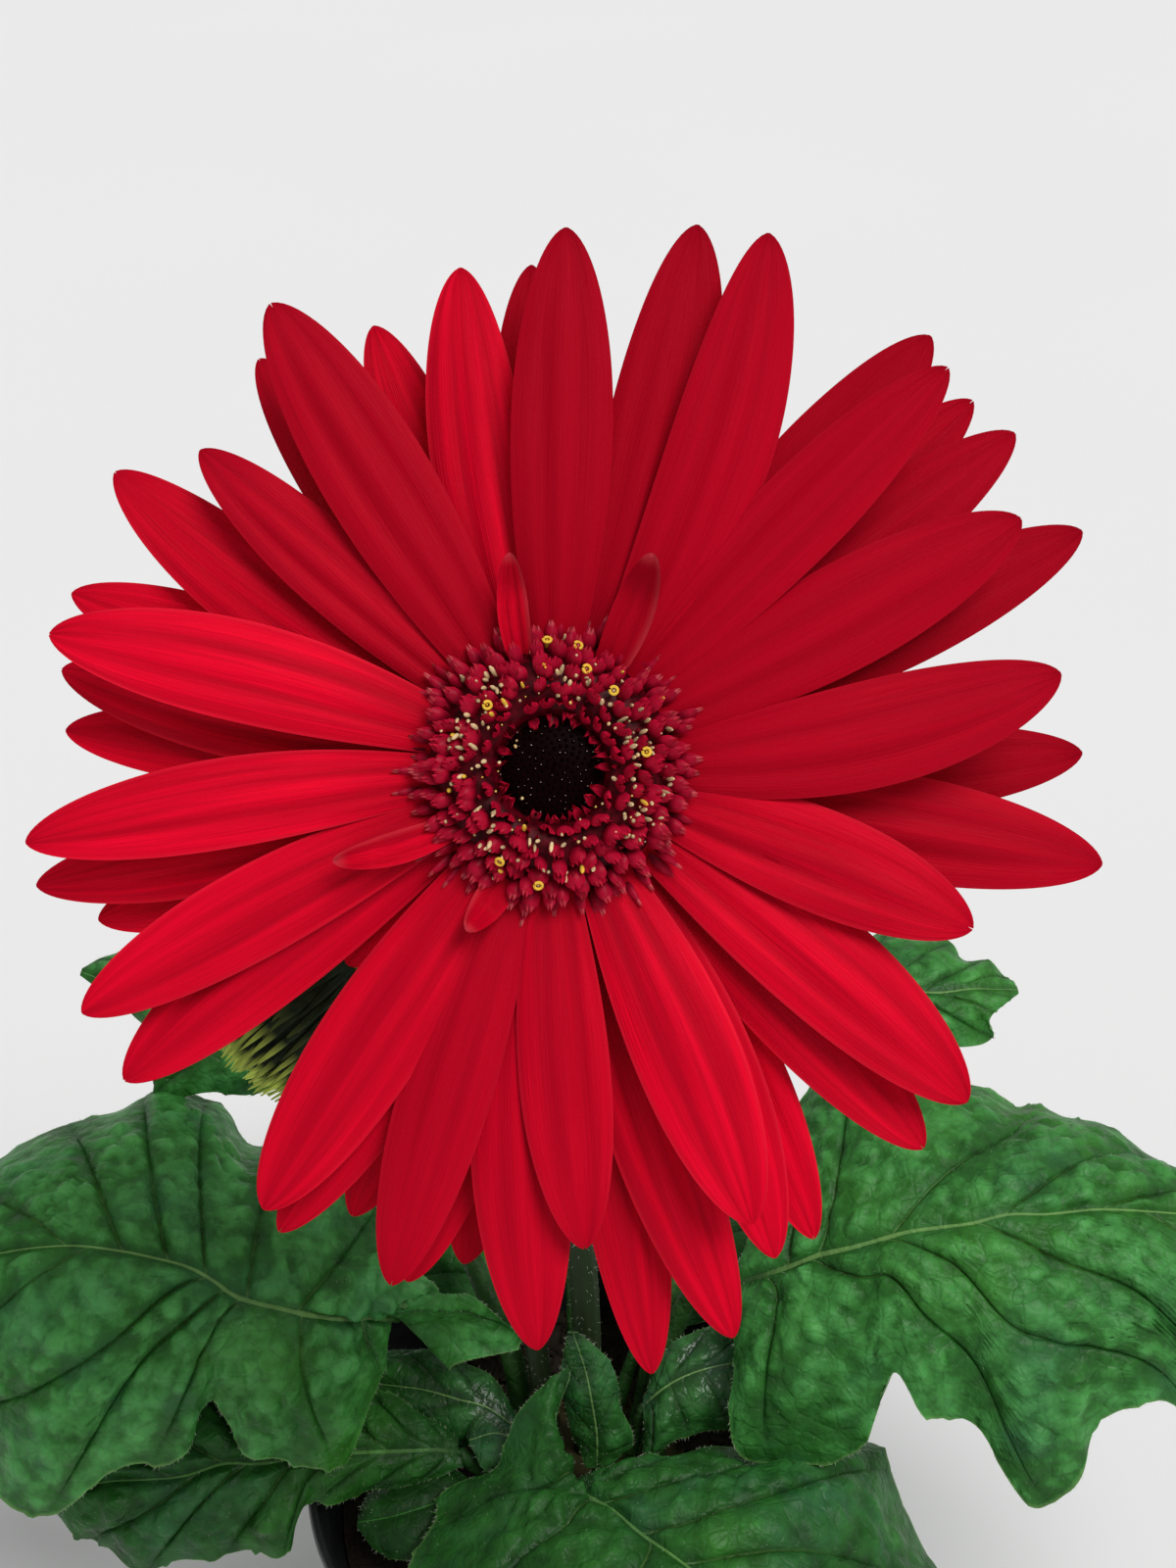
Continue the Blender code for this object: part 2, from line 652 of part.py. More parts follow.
def leaf_rows(spec):
    """Top and bottom points of a leaf, row by row from its foot to its tip, and its socket."""
    radius, azimuth = spec["foot"]
    grid = blade_grid(spec)
    bends = [Vector(p) * MM for p in spec["via"]] + [grid[0][2]]
    start, out, heading = socket_line(place(radius * MM, azimuth), bends[0])
    route = Route([start, out, *bends])
    stalk = STALK_RADIUS if len(grid) > YOUNG_ROWS else YOUNG_STALK_RADIUS
    across = grid[1][4] - grid[1][0]
    top, bottom = [], []
    for k in range(STALK_ROWS):
        middle, tangent = route.at(k / STALK_ROWS), route.heading(k / STALK_ROWS)
        side = (across - tangent * across.dot(tangent)).normalized()
        normal = side.cross(tangent)
        ring = [math.radians(162 - 36 * j) for j in range(5)]
        top.append([middle + (side * math.cos(a) + normal * math.sin(a)) * stalk for a in ring])
        bottom.append([middle + (side * math.cos(a) - normal * math.sin(a)) * stalk for a in ring])
    for i, row in enumerate(grid):
        rib = RIB_DEPTH * (1 - i / (len(grid) - 1))
        depths = [LEAF_THICK + (rib if j == 2 else 0) for j in range(5)]
        top.append(row)
        bottom.append([p - facing(grid, i, j) * depths[j] for j, p in enumerate(row)])
    return top, bottom, (start, heading, stalk)


def build_leaves(finish, young_finish):
    """Every leaf with its stalk. Gives back the sockets that they need."""
    sockets = []
    for name, spec in LEAVES.items():
        top, bottom, socket = leaf_rows(spec)
        young = name.startswith("leaf_young")
        add_object(name, sheet_mesh(name, top, bottom), young_finish if young else finish)
        sockets.append(socket)
    return sockets


def bloom_frame():
    """The bloom's own axes: X to the right, Y up its face and Z out of its face."""
    right = Vector((1, 0, 0))
    out = Vector((0, -math.cos(BLOOM_LIFT), math.sin(BLOOM_LIFT)))
    up = out.cross(right)
    frame = Matrix((right, up, out)).transposed().to_4x4()
    return Matrix.Translation(BLOOM_CENTRE) @ frame


def petal_width(t):
    """Half width of a petal at this share of its length, as a share of its widest."""
    if t < 0.6:
        return 0.36 + 0.64 * math.sin(math.pi / 2 * t / 0.6)
    return (1 - ((t - 0.6) / 0.4) ** 2) ** 0.72


def petal_mesh(k, tip, reach, root, half, tier):
    """One ray petal in the bloom's frame: it leaves its root straight out and bends to its tip."""
    start = place(ROOT_RADIUS, root)
    rise = (reach * MM - ROOT_RADIUS) * math.tan(math.radians(TIER_RISE[tier]))
    sag = (reach * MM - ROOT_RADIUS) * PETAL_DROOP
    end = place(reach * MM * (1 - (TIER_ROOT[tier] + 0.65 * rise - sag) / VIEW_DISTANCE), tip)
    turn_at = place(ROOT_RADIUS + 0.5 * (end - start).length, root)
    top, bottom = [], []
    for t in PETAL_STATIONS:
        middle = lerp(lerp(start, turn_at, t), lerp(turn_at, end, t), t)
        middle.z = TIER_ROOT[tier] + rise * t * (1 - 0.35 * t) - sag * t * t
        ahead = (lerp(turn_at, end, t) - lerp(start, turn_at, t)).normalized()
        side = Vector((ahead.y, -ahead.x, 0))
        wide = half * MM * petal_width(t)
        arch = PETAL_ARCH * wide
        row = [middle + side * wide * v - Vector((0, 0, arch * v * v)) for v in (-1, 0, 1)]
        top.append(row)
        bottom.append([p - Vector((0, 0, PETAL_THICK)) for p in row])
    return sheet_mesh(f"petal_{k}", top, bottom)


def build_rays(finish, frame):
    """The ray petals in their tiers, fused to the round seat that they grow from."""
    profile = [(r * MM, z * MM) for r, z in ((0, -2.2), (12.5, -2.2), (14, -1), (13, 1.8), (0, 1.8))]
    rays = add_object("bloom_rays", turned("bloom_rays", profile, 24), finish, frame)
    fuse(rays, [petal_mesh(k, *row) for k, row in enumerate(RAYS)], finish)


def build_florets(finish, frame):
    """The ring of small lipped florets between the rays and the eye."""
    seat = 2.4
    profile = ((5.8, seat), (12.0, seat), (12.4, 3.2), (11.2, 4.6), (8.8, 5.5), (6.7, 5.2), (5.8, 4.2))
    ring = [(r * MM, z * MM) for r, z in profile]
    florets = add_object("bloom_florets", turned("bloom_florets", ring, 20, ring=True), finish, frame)
    chance = random.Random(5)
    lips = []
    for row, (radius, count, length, lean, half) in enumerate(FLORET_ROWS):
        for k in range(count):
            azimuth = 360 * (k + 0.5 * (row % 2)) / count + chance.uniform(-3, 3)
            tilt = math.radians(lean + chance.uniform(-7, 7))
            way = place(math.sin(tilt), azimuth, math.cos(tilt))
            out = place(-math.cos(tilt), azimuth, math.sin(tilt))
            side = place(1, azimuth + 90)
            root = place(radius * MM, azimuth, (4.6 if row < 4 else 3.6) * MM) - way * 1.0 * MM
            run = (length + chance.uniform(-0.4, 0.4) + 0.8) * MM
            line = [root, root + way * run * 0.6, root + way * run - out * LIP_CURL]
            lips.append(spike_mesh(f"lip_{row}_{k}", line, half * MM, -LIP_THICK, side, out))
    fuse(florets, lips, finish)


def build_eye(finish, frame):
    """The dark button of unopened florets, domed and set with low bumps."""
    rings, sides = 5, 18
    profile = [(0, EYE_FOOT), (EYE_RADIUS, EYE_FOOT)]
    for k in range(rings):
        share = k / rings
        profile.append((EYE_RADIUS * (1 - share), lerp(EYE_SHOULDER, EYE_TOP, 1 - (1 - share) ** 2)))
    profile.append((0, EYE_TOP))
    mesh = turned("bloom_eye", profile, sides)
    for vertex in mesh.vertices:
        radius = math.hypot(vertex.co.x, vertex.co.y)
        if 0.5 * MM < radius < EYE_RADIUS - 0.5 * MM:
            ring = round(rings * (1 - radius / EYE_RADIUS))
            spoke = round(sides * math.atan2(vertex.co.y, vertex.co.x) / math.tau)
            vertex.co.z += EYE_BUMP * (1 if (ring + spoke) % 2 else -1)
    add_object("bloom_eye", mesh, finish, frame)


def bract_meshes(rows, seed):
    """Narrow bracts round the local Z axis, from rows of (number, start (r, z), middle, end, half width)."""
    chance = random.Random(seed)
    made = []
    for row, (count, *line, half) in enumerate(rows):
        for k in range(count):
            azimuth = 360 * (k + 0.5 * (row % 2)) / count + chance.uniform(-4, 4)
            stretch = chance.uniform(0.93, 1.05)
            path = [place(r * MM, azimuth, z * MM) for r, z in line]
            path[-1] = path[1] + (path[-1] - path[1]) * stretch
            way = (path[-1] - path[0]).normalized()
            side = place(1, azimuth + 90)
            out = side.cross(way) if side.cross(way).dot(place(1, azimuth)) > 0 else way.cross(side)
            made.append(spike_mesh(f"bract_{row}_{k}", path, half * MM, BRACT_THICK, side, out))
    return made


def build_involucre(finish, frame):
    """The green cup of bracts under the bloom, with a socket for the stalk."""
    profile = ((0, -13), (4.2, -13), (8.4, -10.6), (11.2, -7.2), (12.0, -4.2), (11.4, -3), (0, -3))
    shape = turned("cup", [(r * MM, z * MM) for r, z in profile], 18)
    cup = add_object("bloom_involucre", shape, finish, frame)
    rows = (
        (12, (5.2, -12.2), (9.6, -10.2), (12.8, -6.9), 2.0),
        (15, (8.6, -9.8), (12.0, -7.8), (15.2, -6.0), 1.9),
    )
    fuse(cup, bract_meshes(rows, 11), finish)
    socket = cylinder("stalk_socket", SCAPE_RADIUS + 1.3 * CLEARANCE, -16 * MM, CUP_SOCKET)
    cut(cup, [cutter(socket, frame)])


def bud_frame():
    return frame_along(BUD_CENTRE, BUD_AXIS)


def build_bud(finish, frame):
    """The closed bud: a rounded head wrapped in rows of narrow bracts, with a socket for its stalk."""
    profile = ((0, -9), (3.2, -9), (7.8, -4.6), (8.9, 2.0), (6.2, 7.8), (0, 10))
    shape = turned("head", [(r * MM, z * MM) for r, z in profile], 14)
    head = add_object("bud_head", shape, finish, frame)
    rows = (
        (12, (4.4, -8.0), (9.1, -2.6), (10.4, 3.0), 1.8),
        (14, (7.8, -3.6), (10.0, 2.2), (9.2, 9.0), 1.8),
        (11, (7.6, 3.4), (7.6, 7.4), (5.0, 12.4), 1.7),
    )
    fuse(head, bract_meshes(rows, 23), finish)
    socket = cylinder("bud_socket", BUD_SCAPE_RADIUS + 1.3 * CLEARANCE, -12 * MM, BUD_SOCKET)
    cut(head, [cutter(socket, frame)])


def build_stalk(name, foot, route, head_frame, socket_end, radius, finish):
    """A round flower stalk from the crown to the socket in a flower head. Gives back its own socket."""
    start, out, heading = socket_line(Vector((*foot, 0)) * MM, Vector(route[0]) * MM)
    end = head_frame @ Vector((0, 0, socket_end - CLEARANCE))
    before = head_frame @ Vector((0, 0, socket_end - HEAD_LEAD))
    path = Route([start, out, *(Vector(p) * MM for p in route), before, end])
    curve = bpy.data.curves.new(name, "CURVE")
    curve.dimensions = "3D"
    curve.bevel_depth = radius
    curve.bevel_resolution = SCAPE_SIDES // 2 - 2
    curve.use_fill_caps = True
    line = curve.splines.new("POLY")
    line.points.add(SCAPE_POINTS - 1)
    for k, point in enumerate(line.points):
        point.co = (*path.at(k / (SCAPE_POINTS - 1)), 1)
    curve.materials.append(finish)
    stalk = bpy.data.objects.new(name, curve)
    bpy.context.scene.collection.objects.link(stalk)
    return start, heading, radius


def main():
    for old in list(bpy.data.objects):
        bpy.data.objects.remove(old)

    plastic = material("pot_plastic", (0.012, 0.014, 0.016), 0.45)
    soil = material("potting_mix", (0.028, 0.017, 0.011), 0.95)
    crown = material("crown", (0.09, 0.10, 0.03), 0.7)
    leaf = material("leaf_green", (0.03, 0.15, 0.03), 0.5)
    young = material("leaf_young", (0.06, 0.22, 0.04), 0.3)
    stem = material("stem_green", (0.10, 0.26, 0.06), 0.55)
    petal = material("petal_red", (0.62, 0.006, 0.03), 0.5)
    floret = material("floret_crimson", (0.25, 0.004, 0.02), 0.55)
    eye = material("eye_dark", (0.02, 0.004, 0.006), 0.6)
    bract = material("bract_green", (0.03, 0.06, 0.02), 0.6)

    draft = build_pot(plastic)
    build_soil(soil, draft)
    sockets = build_leaves(leaf, young)
    bloom = bloom_frame()
    build_rays(petal, bloom)
    build_florets(floret, bloom)
    build_eye(eye, bloom)
    build_involucre(bract, bloom)
    bud = bud_frame()
    build_bud(bract, bud)
    scape = ("bloom_stalk", SCAPE_FOOT, SCAPE_ROUTE, bloom, CUP_SOCKET, SCAPE_RADIUS)
    bud_scape = ("bud_stalk", BUD_FOOT, BUD_ROUTE, bud, BUD_SOCKET, BUD_SCAPE_RADIUS)
    sockets += [build_stalk(*row, stem) for row in (scape, bud_scape)]
    build_crown(crown, sockets)


main()
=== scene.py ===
"""The looks of a potted gerbera: fine petals, florets, leaves, stalks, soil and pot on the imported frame."""

import json
import math
import random

import bmesh
import bpy
import numpy as np
from mathutils import Matrix, Vector, noise

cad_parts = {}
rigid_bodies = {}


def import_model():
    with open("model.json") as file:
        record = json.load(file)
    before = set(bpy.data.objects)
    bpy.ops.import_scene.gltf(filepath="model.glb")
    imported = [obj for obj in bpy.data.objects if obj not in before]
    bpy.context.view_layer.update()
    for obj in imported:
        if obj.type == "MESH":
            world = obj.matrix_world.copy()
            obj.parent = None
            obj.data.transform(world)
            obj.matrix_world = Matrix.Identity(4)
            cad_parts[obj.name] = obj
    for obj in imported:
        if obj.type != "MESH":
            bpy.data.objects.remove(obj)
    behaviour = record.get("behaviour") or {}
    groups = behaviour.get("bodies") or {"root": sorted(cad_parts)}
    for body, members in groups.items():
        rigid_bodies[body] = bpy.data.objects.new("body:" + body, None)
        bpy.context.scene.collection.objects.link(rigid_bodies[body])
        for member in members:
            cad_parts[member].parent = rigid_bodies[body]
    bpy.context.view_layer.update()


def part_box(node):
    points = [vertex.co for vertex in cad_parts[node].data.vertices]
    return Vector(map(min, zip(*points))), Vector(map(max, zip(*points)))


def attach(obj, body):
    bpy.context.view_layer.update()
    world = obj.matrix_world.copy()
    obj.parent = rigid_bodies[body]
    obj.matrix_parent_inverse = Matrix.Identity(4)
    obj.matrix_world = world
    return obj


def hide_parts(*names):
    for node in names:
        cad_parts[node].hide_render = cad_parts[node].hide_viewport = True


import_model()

bl_info = {
    "name": "Potted gerbera",
    "version": (1, 0, 0),
    "blender": (4, 5, 0),
    "location": "3D View > Sidebar > Gerbera",
    "description": "Dresses the frame of a potted gerbera with fine petals, leaves, stalks, soil and pot",
    "category": "Add Mesh",
}

MM = 0.001
CLEARANCE = 0.3 * MM
TAU = math.tau

# Where each piece's random draws start
SEEDS = {
    "petals": 21,
    "florets": 5,
    "anthers": 9,
    "eye": 3,
    "cup": 11,
    "bud": 23,
    "hairs": 17,
    "crown": 31,
    "soil": 41,
}

# Pot and soil, as in the frame
POT_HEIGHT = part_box("pot")[1][2]
RIM_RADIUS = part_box("pot")[1][0]
RIM_BAND = 12 * MM
RIM_STEP = 1.8 * MM
BASE_RADIUS = 34 * MM
WALL = 1.6 * MM
FLOOR = 2.0 * MM
DRAIN_HOLES = 6
DRAIN_RADIUS = 4 * MM
DRAIN_RING = 24 * MM
SOIL_TOP = 81 * MM
SOIL_SWELL = 2.0 * MM
CROWN_TOP = 88 * MM
CROWN_RADIUS = 18 * MM
SOCKET_DEPTH = 5 * MM
STRAIGHT_RUN = 5 * MM
CROWN_PROFILE = (
    (0, 73.5), (12.6, 73.5), (17.4, 77.4), (17.6, 85), (15.8, 87), (10, 87.6), (0.5, 87.9), (0, 87.9),
)
CROWN_SCALES = 90
SCALE_TURN = 137.5
CROWN_FIBRES = 320
SOIL_SIDES = 200
SOIL_RINGS = 34
CRUMBS = 1100
BIG_CRUMB_EVERY = 17
SOIL_FIBRES = 160
POT_SIDES = 144
# How much the pot's wall leans out for each unit of its height
DRAFT = (RIM_RADIUS - RIM_STEP - BASE_RADIUS) / POT_HEIGHT

# Bloom: tiers of petals run from the back to the front, and the last holds the small inner petals
BLOOM_CENTRE = np.array((-3.5, -45, 270)) * MM
BLOOM_LIFT = math.radians(35)
ROOT_RADIUS = 9 * MM
TIER_ROOT = (-1.4 * MM, -0.6 * MM, 0.2 * MM, 1.0 * MM, 1.5 * MM)
TIER_RISE = (-4, 1, 6, 11, 19)
PETAL_DROOP = 0.06
VIEW_DISTANCE = 225 * MM
INNER_TIER = 4
# Where a petal's two grooves run and how wide they are, as shares of its half width, and the half width in mm
# of a petal whose grooves have their full depth
GROOVE_PLACE = 0.36
GROOVE_WIDTH = 0.17
GROOVED_HALF = 5.5
# Width of a petal's foot as a share of its widest, and where it is widest as a share of its length
PETAL_FOOT = 0.38
PETAL_WIDEST = 0.56
# How a petal curves across, levels off, twists and bows along its length, and is keeled, waved and notched
PETAL_CAMBER = 0.24
PETAL_LEVELLING = 0.35
PETAL_TWIST = 0.10
PETAL_BOW = 0.012
PETAL_KEEL = 0.30
PETAL_WAVE = 0.18 * MM
PETAL_NOTCH = 0.6 * MM
INNER_CURL = 3.2 * MM
PETAL_ROWS = 48
PETAL_COLUMNS = 17
# The seat that the petals grow from, as (radius, height) in mm
PETAL_SEAT = ((0, -2.2), (12.5, -2.2), (14, -1), (13, 1.8), (6, 2.2), (0, 2.2))
# How light a petal is painted by the direction of its tip, as painted light and shade for how the key light
# falls on it, from 0 at the darkest to 1
PETAL_PAINTED_LIGHT = (
    (-180, -125, -95, -66, -45, -21, 7, 34, 95, 100, 113, 119, 140, 160, 180),
    (1.0, 0.42, 0.2, 1.0, 0.9, 0.6, 0.0, 0.08, 0.0, 0.6, 0.7, 0.1, 0.35, 0.9, 1.0),
)
TONE_SPREAD = 0.13

# Ray petals, clockwise from the top, as (direction of the tip in degrees counter-clockwise from the right,
# reach of the tip from the bloom's centre in mm, direction of the root in degrees, half width in mm, tier)
RAYS = (
    (88.4, 59.2, 88, 5.5, 3), (75.0, 61.6, 70, 5.6, 2), (67.9, 63.2, 56, 5.7, 3),
    (48.8, 62.9, 48, 5.5, 2), (45.3, 61.7, 46, 5.0, 3), (41.3, 61.1, 41, 5.0, 0),
    (36.0, 62.5, 35, 5.3, 1), (28.0, 58.2, 27, 5.8, 3), (24.2, 63.5, 22, 5.3, 1),
    (10.6, 56.7, 2, 5.8, 3), (1.8, 57.9, -2, 5.0, 0), (-9.8, 61.0, -9, 5.9, 1),
    (-20.8, 49.3, -17, 5.6, 3), (-38.7, 58.2, -33, 6.0, 2), (-45.6, 58.0, -43, 5.3, 1),
    (-60.9, 58.7, -54, 4.6, 0), (-65.5, 58.7, -58, 5.0, 1), (-66.2, 54.4, -63, 5.8, 3),
    (-72.3, 65.2, -76, 5.2, 1), (-80.7, 66.9, -80, 4.9, 0), (-86.0, 52.6, -89, 5.0, 3),
    (-91.4, 63.5, -98, 5.7, 2), (-100.2, 54.9, -99, 5.0, 0), (-105.8, 58.2, -103, 5.0, 1),
    (-107.2, 59.1, -109, 5.0, 3), (-114.2, 53.5, -113, 4.8, 0), (-120.5, 58.7, -116, 4.5, 2),
    (-123.1, 57.5, -124, 5.7, 3), (-143.9, 57.8, -149, 5.3, 2), (-152.5, 57.8, -156, 5.0, 3),
    (-161.7, 52.3, -160, 4.7, 0), (-167.3, 57.8, -165, 4.6, 1), (-172.0, 58.0, -176, 4.9, 3),
    (175.4, 53.4, 176, 4.6, 0), (168.5, 54.7, 172, 4.8, 1), (165.0, 56.8, 160, 5.5, 3),
    (159.9, 56.0, 158, 4.8, 0), (145.8, 57.8, 152, 5.3, 1), (137.8, 51.9, 138, 4.4, 2),
    (125.6, 55.2, 127, 4.6, 0), (121.1, 59.4, 121, 5.9, 3), (112.0, 52.3, 113, 4.7, 0),
    (100.3, 55.7, 106, 5.3, 2), (92.4, 55.2, 95, 4.5, 0), (-136.5, 31.0, -137, 3.6, 0),
    (-133.0, 26.0, -130, 3.0, 0), (-157.0, 25.5, -149, 1.8, 4), (64.8, 25.7, 60, 2.3, 4),
    (100.7, 23.7, 106, 1.7, 4), (-117.5, 19.7, -112, 1.9, 4),
)

